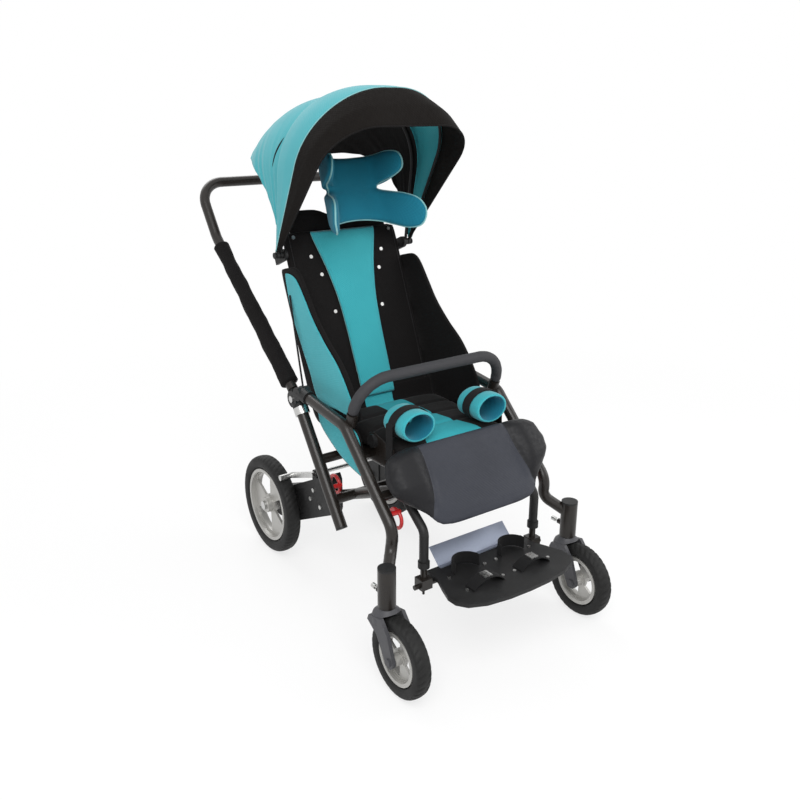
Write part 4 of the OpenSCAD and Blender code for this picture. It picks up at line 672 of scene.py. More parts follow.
# which finish each CAD node that stays in sight wears
worn = {
    "paint": ["side_frame_left", "side_frame_right", "lower_push_tubes", "crossbars", "base_frame",
              "seat_frame", "back_frame", "push_handle", "bumper_tube", "footrest_hangers", "headrest_post"],
    "plastic": ["tube_plugs", "fold_brackets", "wheel_carriers", "hanger_sockets", "cuff_knobs",
                "canopy_clamps", "canopy_mid_hoop", "canopy_front_hoop", "footplate"],
    "steel": ["chassis_bolts", "rear_axles", "steerer_bearings", "back_rivets", "lock_collar_left",
              "lock_collar_right", "strap_buckles", "lock_plunger_left", "lock_plunger_right", "brake_bar"],
    "forkGrey": ["caster_fork_left", "caster_fork_right"],
    "red": ["tie_down_loops"],
    "plate": ["heel_plate"],
    "rim": ["caster_rim_left", "caster_rim_right", "rear_rim_left", "rear_rim_right"],
}
for finish, names in worn.items():
    for name in names:
        nodes[name].data.materials.clear()
        nodes[name].data.materials.append(finishes[finish])

# seat cushion: rounded box, crowned, sides drawn in, three sewn channels, a teal strip between black sides
seat = {"half": 162, "front": -320, "rear": 0, "low": 457.5, "high": 503,
        "square": (0.28, 0.42), "ends": (7, 1 / 7), "taper": 0.15, "drawn": 0.012,
        "hips": 0.07, "hipsFrom": -0.05, "hipsRun": 0.5,
        "crown": 5, "crownHalf": 175, "topFrom": 478, "topRun": 22,
        "channels": (-229, -160, -91), "channelHalf": 5, "deep": 6, "stitchIn": 3, "stitchUp": 3.4,
        "strip": 42, "flare": 50, "flareFrom": -120, "flareRun": 200}
seatCloth = {"threads": 900.0, "shine": 0.15, "sheen": 0.05, "rough": (0.78, 0.92),
             "inner": [(0.022, 0.28, 0.33), (0.046, 0.40, 0.45)],
             "outer": [(0.005, 0.0045, 0.0045), (0.011, 0.010, 0.010)]}


def seatForm():
    # squared oval across the seat, wider at the hips, carried from front to rear and closed at both ends
    s, t = column(60), circle(72)
    across, over = oval(t, *seat["square"])
    ends = fall(s, *seat["ends"])
    hips = ease(np.clip((s - seat["hipsFrom"]) / seat["hipsRun"], 0, 1))
    wide = 1 - seat["drawn"] * (1 - s ** 2) + seat["hips"] * hips
    x = seat["half"] * wide * ends ** seat["taper"] * across
    z = span(seat["low"], seat["high"], ends * over)
    return closedForm("seatForm", places(x, span(seat["front"], seat["rear"], s), z))


def seatCrown(p):
    # the top rises with the square of the way in from its sides and dips in a bell curve at each channel
    top = np.clip((p[:, 2] - seat["topFrom"]) / seat["topRun"], 0, 1)
    lift = seat["crown"] * (1 - (p[:, 0] / seat["crownHalf"]) ** 2).clip(0) * top
    for y in seat["channels"]:
        lift = lift - seat["deep"] * np.exp(-((p[:, 1] - y) / seat["channelHalf"]) ** 2) * top
    return places(0, 0, lift)


def seatStays(rest, move):
    # the underside lies flat on the seat board
    move[:, 2] = np.maximum(move[:, 2], seat["low"] * mm - rest[:, 2])
    return move


def seatEdge(tree, place):
    # half width of the teal strip: it runs on from the back and widens to the front
    way = sums(tree, "MAXIMUM", sums(tree, "SUBTRACT", seat["flareFrom"] * mm, place[1]), 0.0)
    return flared(tree, way, seat["strip"], seat["flare"], seat["flareRun"])


finishes["seat"] = seamFinish("seatFabric", seatEdge, seatCloth)
cushion = pressed(puffUp(seatForm(), seatStays), seatCrown)
rounder(fit("seatCushion", cushion, "seat", "chassis", "seat_cushion", "teal_fabric", 0.7))


def channelStitches(y):
    # threads in the bottom of a sewn channel, as far as the teal strip reaches
    way = max(seat["flareFrom"] - y, 0) / seat["flareRun"]
    half = seat["strip"] + seat["flare"] * way ** 2 - seat["stitchIn"]
    x = np.linspace(-half, half, 20)
    top = seat["high"] + seat["crown"] * (1 - (x / seat["crownHalf"]) ** 2) - seat["deep"] + seat["stitchUp"]
    return stitchRow(places(x, y, top), (0, 0, 1))


fit("channelStitches", joined("channelStitches", [channelStitches(y) for y in seat["channels"]]),
    "tealThread", "chassis", (), "teal_fabric")
print("seat cushion done")

# calf apron: one form, a slate middle panel that hangs lower than the black bolster at each side
apron = {"top": (-336, 496), "down": (-0.607, -0.795), "out": (-0.795, 0.607),
         "run": (-26, -14, 0, 40, 70, 90, 108, 122, 140, 160, 172, 178),
         "half": (190, 214, 228, 238, 234, 221, 203, 187, 168, 155, 142, 114),
         "roll": (16, 26, 31, 36, 37, 33, 27, 20, 14, 11, 10, 8), "panel": 12,
         "square": (0.8, 0.55), "ends": (9, 0.5), "pinch": 0.55, "bolsterFrom": 122, "bolsterRun": 46,
         "seam": 130, "flare": 22, "seamDeep": 4.5, "seamHalf": 5, "seamEnd": 130, "seamFade": 16}
apronCloth = {"threads": 760.0, "shine": 0.22, "sheen": 0.0, "rough": (0.42, 0.6),
              "inner": [(0.022, 0.024, 0.031), (0.040, 0.043, 0.055)],
              "outer": [(0.006, 0.006, 0.007), (0.013, 0.013, 0.015)]}


def apronForm():
    # oval sections across the calves, half width and roll thickness read along the run, from top to foot
    s, t = column(64), circle(120)
    d = span(apron["run"][0], apron["run"][-1], np.sin(pi / 2 * s))
    half, roll = [np.interp(d, apron["run"], apron[key]) for key in ("half", "roll")]
    across, over = oval(t, *apron["square"])
    ends = fall(s, *apron["ends"])
    x = half * across * between(apron["pinch"], 1, ends)
    bolster = ease(np.clip((np.abs(x) - apron["bolsterFrom"]) / apron["bolsterRun"], 0, 1))
    n = between(apron["panel"], roll, bolster) * over * ends
    y, z = [apron["top"][k] + d * apron["down"][k] + n * apron["out"][k] for k in (0, 1)]
    return closedForm("apronForm", places(x, y, z))


def apronStays(rest, move):
    # nothing grows back into the seat cushion behind it
    move[:, 1] = np.minimum(move[:, 1], 0)
    return move


def apronSeam(p):
    # a sewn groove down each side of the panel's front: a bell curve about the seam, ending above the foot
    y, z = p[:, 1] - apron["top"][0], p[:, 2] - apron["top"][1]
    d = y * apron["down"][0] + z * apron["down"][1]
    n = y * apron["out"][0] + z * apron["out"][1]
    line = apron["seam"] + apron["flare"] * (np.maximum(d, 0) / apron["seamEnd"]) ** 2
    dip = apron["seamDeep"] * np.exp(-((np.abs(p[:, 0]) - line) / apron["seamHalf"]) ** 2) * (n > 0)
    dip = dip * np.clip((apron["seamEnd"] + apron["seamFade"] - d) / apron["seamFade"], 0, 1)
    return places(0, -dip * apron["out"][0], -dip * apron["out"][1])


def apronEdge(tree, place):
    # half width of the slate panel, which grows down the run
    away = [sums(tree, "SUBTRACT", place[k + 1], apron["top"][k] * mm) for k in (0, 1)]
    y, z = [sums(tree, "MULTIPLY", a, way) for a, way in zip(away, apron["down"])]
    run = sums(tree, "MAXIMUM", sums(tree, "ADD", y, z), 0.0)
    return flared(tree, run, apron["seam"], apron["flare"], apron["seamEnd"])


finishes["apron"] = seamFinish("apronFabric", apronEdge, apronCloth)
apronMesh = pressed(puffUp(apronForm(), apronStays), apronSeam)
rounder(fit("calfApron", apronMesh, "apron", "chassis", "calf_apron", "slate_fabric", 0.6))
print("calf apron done")

# hip guards: teal panels with a black lining and a black bound edge, under the arm rails
# front is the upper edge, rear the lower one
hip = {"x": 205.5, "thick": 5, "edge": 2.6, "lining": 1,
       "square": (0.75, 0.35), "tips": (12, 0.5), "grid": (70, 36),
       "front": [(-229, 432), (-215, 470), (-198, 515), (-160, 530), (-80, 538), (0, 545)],
       "rear": [(-229, 432), (-233, 414), (-190, 418), (-130, 432), (-72, 458), (-24, 489), (-12, 515),
                (0, 545)]}
hipGuards = fitTwins("hipGuards", lambda side: sidePad("hip", hip, side),
                     ["teal", "black"], "chassis", "hip_guards", "teal_fabric", 0.5)
twoTone(hipGuards.data, lambda p: np.abs(p[:, 0]) < hip["x"] - hip["lining"])


def hipEdge(side):
    return closedTube("hipEdge", atSide(rimOf(hip, 120), side * hip["x"])[:-1], hip["edge"], 10, (1, 0, 0))


fitTwins("hipGuardEdges", hipEdge, "black", "chassis", (), "black_fabric")

# thigh cuffs: padded rings with a sewn waist under the band
cuff = {"x": 112, "y": -272, "z": 552, "mid": 39.6, "wall": 5.4, "half": 40, "wide": 1.1, "tall": 0.83,
        "square": (0.5, 0.5), "waist": 1.2, "waistHalf": 16, "waistPower": 4, "lining": 2}


def cuffRing(side):
    # squared oval section, length by wall, carried round an oval; the middle is drawn in by the band
    a, t = circle(72), circle(40)[:, None]
    along, over = oval(t, *cuff["square"])
    y = cuff["half"] * along
    waist = cuff["waist"] * np.exp(-(y / cuff["waistHalf"]) ** cuff["waistPower"]) * (np.sin(t) > 0)
    r = cuff["mid"] + cuff["wall"] * over - waist
    x, z = side * cuff["x"] + cuff["wide"] * r * np.cos(a), cuff["z"] + cuff["tall"] * r * np.sin(a)
    return closedLoop("cuff", places(x, cuff["y"] + y, z))


def cuffInside(p):
    # the lining: faces nearer the cuff's axis than the middle of its wall; their darker teal is partly the
    # lining's own colour and partly painted shade inside the ring
    across, tall = (np.abs(p[:, 0]) - cuff["x"]) / cuff["wide"], (p[:, 2] - cuff["z"]) / cuff["tall"]
    return np.hypot(across, tall) < cuff["mid"] - cuff["lining"]


# the inner faces wear the darker teal: partly the lining's colour, partly painted shade
thighCuffs = fitTwins("thighCuffs", cuffRing, ["teal", "tealDeep"], "chassis",
                      "thigh_cuffs", "teal_fabric", 0.6)
rounder(thighCuffs)
twoTone(thighCuffs.data, cuffInside)

band = {"r": 47.1, "width": 27, "thick": 2.0, "tail": 169.7, "foot": 464, "rise": 6, "sunk": 2, "bend": 3}


def cuffBand(side):
    # a flat band once round the cuff, and its tail over to the seat tab and down
    a = np.linspace(0, 2 * pi, 73)
    wide, tall = cuff["wide"] * band["r"], cuff["tall"] * band["r"]
    ring = places(side * cuff["x"] + wide * np.cos(a), cuff["y"], cuff["z"] + tall * np.sin(a))
    high = cuff["z"] + band["rise"]
    turns = [(cuff["x"] + wide - band["sunk"], high), (band["tail"], high), (band["tail"], band["foot"])]
    tail = bentLine([(side * x, cuff["y"], z) for x, z in turns], [band["bend"]], 24)
    return joined("band", [bandAlong("bandRing", ring, (0, 1, 0), band["width"], band["thick"], False),
                           bandAlong("bandTail", tail, (0, 1, 0), band["width"], band["thick"])])


fitTwins("cuffBands", cuffBand, "webbing", "chassis", "cuff_bands", "webbing")
print("hip guards and cuffs done")

# back pad: black, crowned between the teal strip and its edges
pad = {"half": 175, "foot": 12.5, "top": 477.5, "front": 2.0, "rear": 23.8,
       "square": (0.3, 0.35), "ends": (14, 1 / 6), "endHalf": 0.9,
       "puff": 3.0, "flankAt": 132, "flankHalf": 34, "flankEnds": (6, 1), "flankOver": 0.3,
       "stitchIn": 12, "stitchFoot": 14, "stitchTop": 10, "stitchUp": 0.2}
outOfBack = alongBack([0, -1, 0])


def backPadForm():
    # squared oval across the back, puffed on each flank, carried up the back and closed at both ends
    s, t = column(80), circle(96)
    across, over = oval(t, *pad["square"])
    ends = fall(s, *pad["ends"])
    x = pad["half"] * between(pad["endHalf"], 1, ends) * across
    flank = np.exp(-((np.abs(x) - pad["flankAt"]) / pad["flankHalf"]) ** 2) * fall(s, *pad["flankEnds"])
    y = span(pad["rear"], pad["front"], ends * over) - pad["puff"] * flank * (np.sin(t) > pad["flankOver"])
    return closedForm("backPad", onBack(places(x, y, span(pad["foot"], pad["top"], s))))


def padStitches(side):
    # a row near the outer edge of the black pad
    z = np.linspace(pad["foot"] + pad["stitchFoot"], pad["top"] - pad["stitchTop"], 60)
    x, y = side * (pad["half"] - pad["stitchIn"]), pad["front"] - pad["stitchUp"]
    return stitchRow(onBack(places(x, y, z)), outOfBack)


fit("backPad", backPadForm(), "black", "backrest", "back_pad", "black_fabric", 0.6)

# back strip: teal, widening to the top, with piping along both edges
strip = {"rise": (16, 85, 200, 290, 380, 440, 472), "half": (50, 51, 53, 58, 75, 93, 102),
         "front": -8.0, "rear": 2.0, "square": (0.5, 0.4), "ends": (20, 0.4),
         "pipe": {"radius": 1.7, "margin": 2, "inset": 1, "y": -1.2}, "stitch": {"margin": 8, "inset": 8}}


def stripHalf(z):
    # half width up the back, the corners of its table rounded by a running mean
    half = np.interp(z, strip["rise"], strip["half"])
    return np.convolve(np.pad(half, 6, mode="edge"), np.ones(13) / 13, "valid")


def stripEdge(side, rule, y, count):
    # a line along one edge of the strip, set in from it
    z = np.linspace(strip["rise"][0] + rule["margin"], strip["rise"][-1] - rule["margin"], count)
    return onBack(places(side * (stripHalf(z) - rule["inset"]), y, z))


def backStripForm():
    # squared oval between the two curved edges, carried up the back
    z = np.linspace(strip["rise"][0], strip["rise"][-1], 80)
    across, over = oval(circle(48), *strip["square"])
    y = span(strip["rear"], strip["front"], fall(column(len(z)), *strip["ends"]) * over)
    return closedForm("backStrip", onBack(places(stripHalf(z)[:, None] * across, y, z[:, None])))


def stripPiping(side):
    line = stripEdge(side, strip["pipe"], strip["pipe"]["y"], 80)
    return closedForm("stripPiping", tubeAlong(line, strip["pipe"]["radius"], 8))


def stripStitches(side):
    return stitchRow(stripEdge(side, strip["stitch"], strip["front"], 60), outOfBack)


fit("backStrip", backStripForm(), "teal", "backrest", "back_strip", "teal_fabric", 0.5)
fitTwins("backStripPiping", stripPiping, "pipe", "backrest", (), "teal_fabric")
fitTwins("stripStitches", stripStitches, "tealThread", "backrest", (), "teal_fabric")
fitTwins("padStitches", padStitches, "greyThread", "backrest", (), "black_fabric")

# seat flap: the cover runs on from the seat to the back, black with the teal strip in its middle
flap = {"half": 178, "teal": 47, "cloth": 2, "still": (0, 4, 489), "moving": (0, 24, 520),
        "line": [(-10, 493), (4, 489), (15, 494), (21, 508), (27.5, 536)]}
flapLine = smoothLine(flap["line"], 24)
flapAcross = np.linspace(-flap["half"], flap["half"], 65)
flapMesh = gridMesh("seatFlap", places(flapAcross, flapLine[:, :1], flapLine[:, 1:]))
seatFlap = fit("seatFlap", flapMesh, ["teal", "black"], None, (), "teal_fabric")
twoTone(flapMesh, lambda p: np.abs(p[:, 0]) > flap["teal"])
seatFlap.modifiers.new("cloth", "SOLIDIFY").thickness = flap["cloth"] * mm
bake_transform(seatFlap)
float(steps(flapLine).sum()) * mm

# neck flap: a low padded strip that closes the gap behind the headrest
neck = {"half": 150, "narrow": 26, "foot": 470, "top": 536, "y": 15, "lean": 4, "thick": 3.5,
        "square": (0.4, 0.5), "ends": (10, 0.5), "endHalf": 0.93, "dip": 26, "dipWide": 36}


def neckForm():
    # squared oval across, narrowing as it rises from the top of the back, with a dip for the headrest post
    s = np.linspace(0, 1, 30)[:, None]
    across, over = oval(circle(64), *neck["square"])
    ends = fall(s, *neck["ends"])
    x = (neck["half"] - neck["narrow"] * s ** 2) * between(neck["endHalf"], 1, ends) * across
    y = neck["y"] + neck["lean"] * s - neck["thick"] * ends * over
    top = neck["top"] - neck["dip"] * np.exp(-(x / neck["dipWide"]) ** 2)
    return closedForm("neckFlap", onBack(places(x, y, between(neck["foot"], top, s))))


fit("neckFlap", neckForm(), "black", "backrest", (), "black_fabric", 0.4)

# side wings: black padded panels with a teal leaf outside
wing = {"x": 186.5, "thick": 6.3, "square": (0.75, 0.3), "tips": (12, 0.5), "grid": (90, 40),
        "front": [(32, 388), (-3, 384), (-38, 376), (-60, 351), (-78, 292), (-96, 232), (-128, 168),
                  (-165, 108), (-187, 45), (-197, -10), (-192, -30), (-172, -39)],
        "rear": [(32, 388), (32, 300), (32, 200), (32, 100), (31, 20), (18, -16), (-6, -29), (-48, -45),
                 (-84, -49), (-128, -47), (-172, -39)]}
leaf = {"x": 194.5, "thick": 1.7, "square": (0.75, 0.3), "tips": (12, 0.5), "grid": (90, 40),
        "stitchIn": 7, "stitchOut": 0.92,
        "front": [(5, 372), (-20, 364), (-46, 342), (-67, 290), (-86, 232), (-118, 168), (-155, 108),
                  (-177, 45), (-186, -8), (-170, -25)],
        "rear": [(5, 372), (16, 280), (4, 185), (-10, 110), (-24, 36), (-110, 0), (-170, -25)]}


def leafStitches(side):
    # a row inside the rim of the leaf: the outline drawn towards its middle
    rim = rimOf(leaf, 160)
    rim = rim + unit(rim.mean(0) - rim) * leaf["stitchIn"]
    x = side * (leaf["x"] + leaf["thick"] * leaf["stitchOut"])
    return stitchRow(onBack(atSide(rim, x)), (side, 0, 0))


for side, label in ((1, "left"), (-1, "right")):
    fit("wing_" + label, sidePad("wing", wing, side, onBack), "black", "backrest", "wing_" + label,
        "black_fabric", 0.5)
fitTwins("wingLeaves", lambda side: sidePad("leaf", leaf, side, onBack), "teal", "backrest",
         "wing_leaves", "teal_fabric", 0.4)
fitTwins("leafStitches", leafStitches, "tealThread", "backrest", (), "teal_fabric")
print("back, strip and wings done")

# canopy: two stretched sheets over the hoops, turned about the clamp pivot
# a hoop is a half width, reach and corner radius; front and visor stations also have a lean before them
# the hem is a circle in side view
canopy = {"pivot": (173, 893), "cloth": 1.8, "hem": (405, 888, 238), "footGap": 12, "heart": 120,
          "rear": (202.5, 387.5, 187.5), "rearLean": (13, -56.2),
          "front": [(5.5, 204.6, 390.4, 189), (8, 211, 403, 196), (18, 213.5, 430, 196), (28, 214, 457, 196)],
          "visor": [(28, 214, 457, 196), (36, 211.5, 450, 150), (43, 205, 437, 115)],
          "sag": 3.2, "pulls": [(2.4, 23, 0), (1.3, 41, 0.8)], "pullPower": 2.2, "pullHalf": 203}


def archLength(half, reach, corner):
    # run of a hoop line from its top centre to the pivot
    return half - corner + corner * pi / 2 + reach - corner


def arch(half, reach, corner, run):
    # hoop line from its top centre: flat, then a quarter circle, then straight down to the pivot
    flat, bend = half - corner, corner * pi / 2
    size = np.abs(run)
    a = np.clip((size - flat) / corner, 0, pi / 2)
    x = np.minimum(size, flat) + corner * np.sin(a)
    r = reach - corner * (1 - np.cos(a)) - np.maximum(size - flat - bend, 0)
    return np.sign(run) * x, r


def turned(x, r, angle):
    # a hoop point at radius r, leaning forward by angle from upright about the pivot
    return places(x, canopy["pivot"][0] - r * np.sin(angle), canopy["pivot"][1] + r * np.cos(angle))


def rearCoverForm():
    # the hoop line turned backwards about the pivot; each row stops where it meets the round hem
    # the cloth sags between its hoops and is pulled in waves near the hem
    half, reach, corner = canopy["rear"]
    a = np.radians(np.linspace(*canopy["rearLean"], 64))[:, None]
    cy, cz = [canopy["hem"][k] - canopy["pivot"][k] for k in (0, 1)]
    toward = -cy * np.sin(a) + cz * np.cos(a)
    low = np.clip(toward + np.sqrt(toward ** 2 + canopy["hem"][2] ** 2 - cy ** 2 - cz ** 2), 0, reach)
    curved = half - corner + corner * np.arccos(np.clip(1 - (reach - low) / corner, -1, 1))
    foot = np.where(low <= reach - corner, archLength(half, reach, corner) - low, curved)
    q = np.linspace(-1, 1, 97)
    x, r = arch(half, reach, corner, q * foot)
    swell = np.sin(pi * np.linspace(0, 1, len(a)))[:, None]
    sag = canopy["sag"] * swell ** 2 * (1 - q ** 2)
    waves = sum(high * np.sin(count * a + phase) for high, count, phase in canopy["pulls"])
    pull = np.abs(waves * np.abs(q) ** canopy["pullPower"] * swell)
    return turned(x * (1 - pull / canopy["pullHalf"]), r - sag - pull, a)


def frontCoverForm(stations, rows):
    # hoop lines whose size is read between the stations at growing lean, joined in one sheet
    st = np.array(stations, float)
    a = np.linspace(st[0, 0], st[-1, 0], rows)[:, None]
    half, reach, corner = [np.interp(a, st[:, 0], st[:, k]) for k in (1, 2, 3)]
    run = np.linspace(-1, 1, 97) * (archLength(half, reach, corner) - canopy["footGap"])
    return turned(*arch(half, reach, corner, run), np.radians(a))


def clothSheet(name, pts, finish, body, replaces, slot, lining=0):
    # a sheet with a thin wall; its inner face takes the finish that many places further on
    piece = fit(name, gridMesh(name, pts), finish, body, replaces, slot)
    wall = piece.modifiers.new("cloth", "SOLIDIFY")
    wall.thickness = canopy["cloth"] * mm
    wall.offset = 0
    wall.material_offset = lining
    return piece


def spanOf(pts):
    # longest run of the sheet each way
    p = np.asarray(pts) * mm
    return float(steps(p, 1).sum(1).max()), float(steps(p).sum(0).max())


rearPts = rearCoverForm()
rearCover = clothSheet("canopyRearCover", rearPts, ["teal", "black"], "backrest",
                       "canopy_rear_cover", "teal_fabric", 1)
spanOf(rearPts)
tealPts, visorPts = frontCoverForm(canopy["front"], 30), frontCoverForm(canopy["visor"], 22)
frontPts = np.concatenate([tealPts, visorPts[1:]])
frontCover = clothSheet("canopyFrontCover", frontPts, ["teal", "visor"], "canopy_front",
                        ("canopy_front_cover", "canopy_visor"), "teal_fabric")
inVisor = np.repeat(np.arange(len(frontPts) - 1) >= len(tealPts) - 1, frontPts.shape[1] - 1)
frontCover.data.polygons.foreach_set("material_index", inVisor.astype(np.int32))
spanOf(frontPts)

# vent slits: a dark leaf over each shoulder of the rear cover
vent = {"angle": (4.5, -6), "run": (0.38, 0.6), "half": 1.5, "proud": 2.6, "sunk": 1.2}


def ventSlit(side):
    # a leaf on the rear cover, slantwise over the hoop's shoulder, its half angle a sine along its length
    hoop = canopy["rear"]
    s, w = np.linspace(0, 1, 28)[:, None], np.linspace(-1, 1, 7)
    angle = np.radians(between(*vent["angle"], s) + vent["half"] * np.sin(pi * s) * w)
    rise = vent["proud"] * (1 - w ** 2) * np.sin(pi * s) - vent["sunk"]
    x, r = arch(*hoop, side * archLength(*hoop) * between(*vent["run"], s))
    return gridMesh("vent", turned(x * (1 + rise / hoop[0]), r + rise, angle))


# canopy trim: piping before the visor, hems, and rows of threads along the sheets
trim = {"pipe": 1.5, "pipeOut": [1.003, 1, 1.0008], "visorHem": 2.0, "rearHem": 1.4,
        "rearHemIn": [0.993, 1, 1], "pitch": 6, "proud": 0.1}


def edgeCord(name, line, radius, finish, body, slot):
    fit(name, closedForm(name, tubeAlong(evenLine(line, 140), radius, 8)), finish, body, (), slot)


def sheetStitches(pts, row):
    # a row of threads along one row of a canopy sheet, lifted off its outer face
    line = pts[row, 4:-4]
    out = unit(line - np.array([0, canopy["pivot"][0], canopy["pivot"][1] + canopy["heart"]]))
    return stitchRow(line + out * (canopy["cloth"] / 2 + trim["proud"]), out, trim["pitch"])


fitTwins("canopyVents", ventSlit, "black", "backrest", (), "black_fabric")
edgeCord("visorPiping", tealPts[-1] * trim["pipeOut"], trim["pipe"], "pipe", "canopy_front",
         "teal_fabric")
fit("visorStitches", sheetStitches(visorPts, 1), "greyThread", "canopy_front", (), "black_fabric")
fit("frontStitches", joined("frontStitches", [sheetStitches(tealPts, row) for row in (-3, 4)]),
    "tealThread", "canopy_front", (), "teal_fabric")
edgeCord("visorHem", visorPts[-1], trim["visorHem"], "black", "canopy_front", "black_fabric")
for label, column in (("Left", -1), ("Right", 0)):
    edgeCord("rearHem" + label, rearPts[:, column] * trim["rearHemIn"], trim["rearHem"], "black",
             "backrest", "black_fabric")
print("canopy done")

# headrest: one butterfly pad, cut flat and bent round the head
head = {"centre": (-84, 552), "thick": 14, "bendFrom": 34, "bendTo": 112, "turnAt": (-110, 60),
        "turn": (62, 78), "rim": (5, 0.45), "pipe": 2.2,
        "outline": [(0, 82), (62, 84), (124, 80), (166, 66), (178, 46), (168, 22), (130, 12), (92, 10),
                    (76, 2), (82, -8), (118, -24), (160, -42), (194, -66), (204, -98), (184, -128),
                    (146, -126), (104, -106), (60, -86), (0, -80)]}


def headRing():
    # the outline of one half and its mirror image, as one closed line
    right = np.array(head["outline"], float)
    return smoothLine(np.concatenate([right, right[-2:0:-1] * [-1, 1]]), 181, closed=True)[:-1]


def headBend(w, n):
    # bends a flat place w at height n over the sheet, and gives the way out of it there:
    # the turn grows from the middle outwards, x and y add up its cosine and sine
    out, up, side = np.abs(w[..., 0]), w[..., 1], np.sign(w[..., 0])
    turn = np.radians(np.interp(up, head["turnAt"], head["turn"]))
    along = out[..., None] * np.linspace(0, 1, 60)
    share = np.clip((along - head["bendFrom"]) / (head["bendTo"] - head["bendFrom"]), 0, 1)
    a = turn[..., None] * ease(share)
    last = a[..., -1]
    x = out * np.cos(a).mean(-1) - n * np.sin(last)
    y = -out * np.sin(a).mean(-1) - n * np.cos(last)
    pts = places(side * np.maximum(x, 0), head["centre"][0] + y, head["centre"][1] + up)
    return onBack(pts), alongBack(places(-side * np.sin(last), -np.cos(last), 0))


def headForm():
    # flat outline drawn towards its middle in rings, thickness falling to the rim, then bent
    ring = headRing()
    rho = np.sin(np.linspace(0, pi / 2, 16))[:, None]
    rim = head["thick"] * fall(rho, *head["rim"])
    flat = rho[:, None] * ring
    pts = headBend(np.concatenate([flat, flat[::-1]]), np.concatenate([rim, -rim[::-1]]))[0]
    return closedForm("headForm", pts, False)


# the pad wears the darker teal: painted shade of the canopy above it
rounder(fit("headrestPad", headForm(), "tealDeep", "headrest", "headrest_pad", "teal_fabric", 0.6))
headEdge, headOut = headBend(headRing(), 0)
fit("headrestPiping", closedTube("headrestPiping", headEdge, head["pipe"], 8, headOut), "pipe",
    "headrest", (), "teal_fabric")
print("headrest done")

# handle sleeves: black cloth gathered along each handle tube
# each fold is a height, waves along the sleeve and their crowding, sway, lobes round the tube and phase
sleeve = {"from": 46, "to": 530, "foot": (238, 41, 550), "top": (238, 477, 905),
          "tube": 15, "least": 15.2, "most": 25, "fade": 0.3,
          "radii": (23.5, 22.5, 23, 21, 22, 19.5, 20.5, 18.5, 22),
          "folds": [(0.7, 23, 1, 2.1, 1, 0.4), (0.45, 41, 1.3, 2.6, 2, 1 + pi / 2),
                    (0.3, 77, 0.8, 1.9, 3, 0)]}


def handleSleeve(side):
    # a circle carried along the tube; its radius carries slow waists and small slanting folds
    foot, top = np.array(sleeve["foot"], float), np.array(sleeve["top"], float)
    s = np.linspace(0, 1, 130)[:, None]
    line = foot + unit(top - foot) * between(sleeve["from"], sleeve["to"], s)
    t = circle(40)
    body = np.interp(s, np.linspace(0, 1, len(sleeve["radii"])), sleeve["radii"])
    folds = sum(high * np.sin(waves * s ** crowd + sway * np.sin(lobes * t + phase))
                for high, waves, crowd, sway, lobes, phase in sleeve["folds"])
    r = np.clip(body + folds * np.sin(pi * s) ** sleeve["fade"], sleeve["least"], sleeve["most"])
    r[0] = r[-1] = sleeve["tube"]
    return closedForm("sleeve", tubeAlong(line, r, 40) * [side, 1, 1])


fitTwins("handleSleeves", handleSleeve, "black", "handle", "handle_sleeves", "black_fabric")

# bumper foam: soft grip over the whole bar
bumper = {"foot": (221, -187, 545), "bend": (221, -225, 659), "corner": 84, "start": 31.5, "r": 13.8,
          "tuck": 0.28, "tuckPower": 90, "ripple": 0.12, "ripples": 70}


def bumperForm():
    # a circle carried round the bar, faintly rippled and drawn in at both open ends
    f, b = np.array(bumper["foot"], float), np.array(bumper["bend"], float)
    a = f + unit(b - f) * bumper["start"]
    line = bentLine([a, b, b * [-1, 1, 1], a * [-1, 1, 1]], [bumper["corner"]] * 2, 160)
    s = np.linspace(-1, 1, len(line))
    tuck = bumper["tuck"] * np.abs(s) ** bumper["tuckPower"]
    r = bumper["r"] * (1 - tuck) + bumper["ripple"] * np.sin(bumper["ripples"] * s)
    return closedForm("bumperFoam", tubeAlong(line, r, 28))


fit("bumperFoam", bumperForm(), "foam", "bumper", "bumper_foam", "grip_foam", 0.9)
print("sleeves and bumper done")

# foot straps: a heel loop behind and an arched strap over each foot
foot = {"x": 72, "top": 226, "thick": 2.8,
        "heelY": -450, "heelR": 36.5, "heelH": 32, "heelGap": 0.3, "heelHem": 1,
        "strapY": -515, "arc": 63.5, "half": 46, "strapUp": 1, "width": 33}


def footStraps(side):
    # flat bands carried round a half circle behind the heel and over an arc above the foot
    a = np.linspace(0, pi, 40)
    x, y = side * foot["x"] + foot["heelR"] * np.cos(a), foot["heelY"] + foot["heelR"] * np.sin(a)
    heel = places(x, y, foot["top"] + foot["heelH"] / 2 + foot["heelGap"])
    b = np.radians(np.linspace(-foot["half"], foot["half"], 40))
    low = foot["top"] - foot["arc"] * np.cos(radians(foot["half"])) + foot["strapUp"]
    over = places(side * foot["x"] + foot["arc"] * np.sin(b), foot["strapY"], low + foot["arc"] * np.cos(b))
    heelBand = bandAlong("heel", heel, (0, 0, 1), foot["heelH"] - foot["heelHem"], foot["thick"])
    return joined("footStrap", [heelBand, bandAlong("over", over, (0, 1, 0), foot["width"], foot["thick"])])


fitTwins("footStraps", footStraps, "webbing", "foot_board", "foot_straps", "webbing")

# recline straps: narrow webbing from the back down to the fold brackets
recline = {"top": (198.2, 133.6, 795), "low": (218.8, 41, 561), "broad": (0, 0.93, -0.36),
           "width": 8, "thick": 2.2}


def reclineStrap(side):
    line = evenLine(np.array([recline["top"], recline["low"]]) * [side, 1, 1], 30)
    return bandAlong("recline", line, recline["broad"], recline["width"], recline["thick"])


reclineStraps = fitTwins("reclineStraps", reclineStrap, "webbing", None, "recline_straps",
                         "webbing")
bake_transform(reclineStraps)
print("straps done")

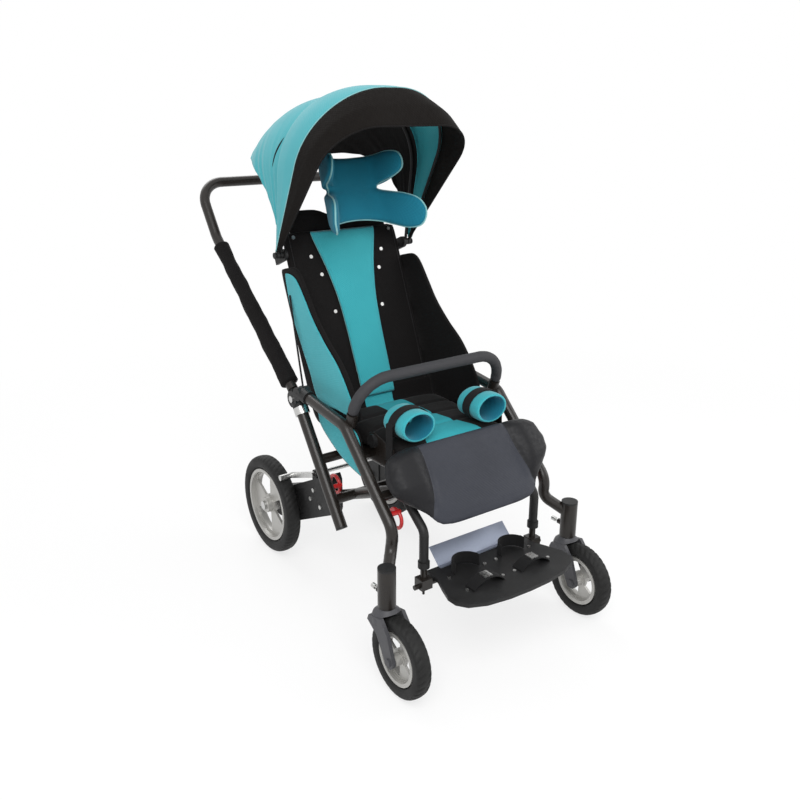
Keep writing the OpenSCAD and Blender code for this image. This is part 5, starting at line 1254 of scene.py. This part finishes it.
# tyres: treaded rubber turned round each wheel
tyres = {"rear_tyre": {"inner": 108.3, "half": 21.8, "lugs": 54, "deep": 2.4},
         "caster_tyre": {"inner": 64.3, "half": 19.8, "lugs": 34, "deep": 2.6}}
tread = {"square": (0.62, 0.78), "crown": 0.25, "crownFade": 0.3, "slant": 5.5, "lug": 0.55,
         "rib": 0.14, "ribFade": 0.12,
         "ring": 0.42, "ringHalf": 0.05, "ringDeep": 0.5, "bead": -0.15, "beadHalf": 0.06, "beadProud": 0.5}


def tyreForm(node, inner, half, lugs, deep):
    # squared oval section turned round the axle; slanting grooves and two rings are cut in its crown
    low, high = [np.array(v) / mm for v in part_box(node)]
    mid = (low + high) / 2
    outer = (high[2] - low[2]) / 2
    a, t = circle(lugs * 6), circle(48)[:, None]
    up, across = oval(t, *tread["square"])
    r = span(inner, outer, up)
    wide = np.abs(across)
    crown = np.clip((np.cos(t) - tread["crown"]) / tread["crownFade"], 0, 1)
    wave = np.cos(lugs * a + tread["slant"] * wide * np.sign(np.sin(t)))
    groove = np.clip(wave - tread["lug"], 0, 1) / (1 - tread["lug"])
    groove = groove * np.clip((wide - tread["rib"]) / tread["ribFade"], 0, 1)
    ringGroove = tread["ringDeep"] * np.exp(-((wide - tread["ring"]) / tread["ringHalf"]) ** 2)
    bead = tread["beadProud"] * np.exp(-((np.cos(t) - tread["bead"]) / tread["beadHalf"]) ** 2)
    r = r - deep * crown * np.maximum(groove, ringGroove) + bead
    return closedLoop(node, places(mid[0] + half * across, mid[1] + r * np.cos(a), mid[2] + r * np.sin(a)))


for kind, rule in tyres.items():
    for label in ("left", "right"):
        node = kind + "_" + label
        fit(node.replace("_tyre", "Tread"), tyreForm(node, **rule), "tyre",
            kind.replace("tyre", "wheel_") + label, node, "tyre")
print("tyres done")

# pale studio floor that keeps the shadow close by and goes to plain white further off
ground = {"span": 30000, "below": -0.5, "colour": 0.93, "rough": 0.9, "shine": 0.1,
          "glowNear": 0.72, "near": 0.9, "far": 2.6}
reach = np.linspace(-ground["span"], ground["span"], 5)
floorMesh = gridMesh("floor", places(reach, reach[:, None], ground["below"]))
floor = bpy.data.objects.new("floor", floorMesh)
scene.collection.objects.link(floor)
pale, tree, shade, spot = startFinish("paleFloor")
settle(shade, {"Base Color": (ground["colour"],) * 3 + (1,), "Roughness": ground["rough"],
               "Specular IOR Level": ground["shine"]})
glow = tree.nodes.new("ShaderNodeEmission")
settle(glow, {"Color": (1, 1, 1, 1), "Strength": 1})
away = tree.nodes.new("ShaderNodeVectorMath")
away.operation = "LENGTH"
tree.links.new(spot, away.inputs[0])
fade = ranged(tree, away.outputs["Value"], ground["near"], ground["far"], ground["glowNear"])
blend = tree.nodes.new("ShaderNodeMixShader")
tree.links.new(sums(tree, "MULTIPLY", fade, seenRays(tree)), blend.inputs[0])
tree.links.new(shade.outputs[0], blend.inputs[1])
tree.links.new(glow.outputs[0], blend.inputs[2])
tree.links.new(blend.outputs[0], tree.nodes["Material Output"].inputs["Surface"])
floorMesh.materials.append(pale)
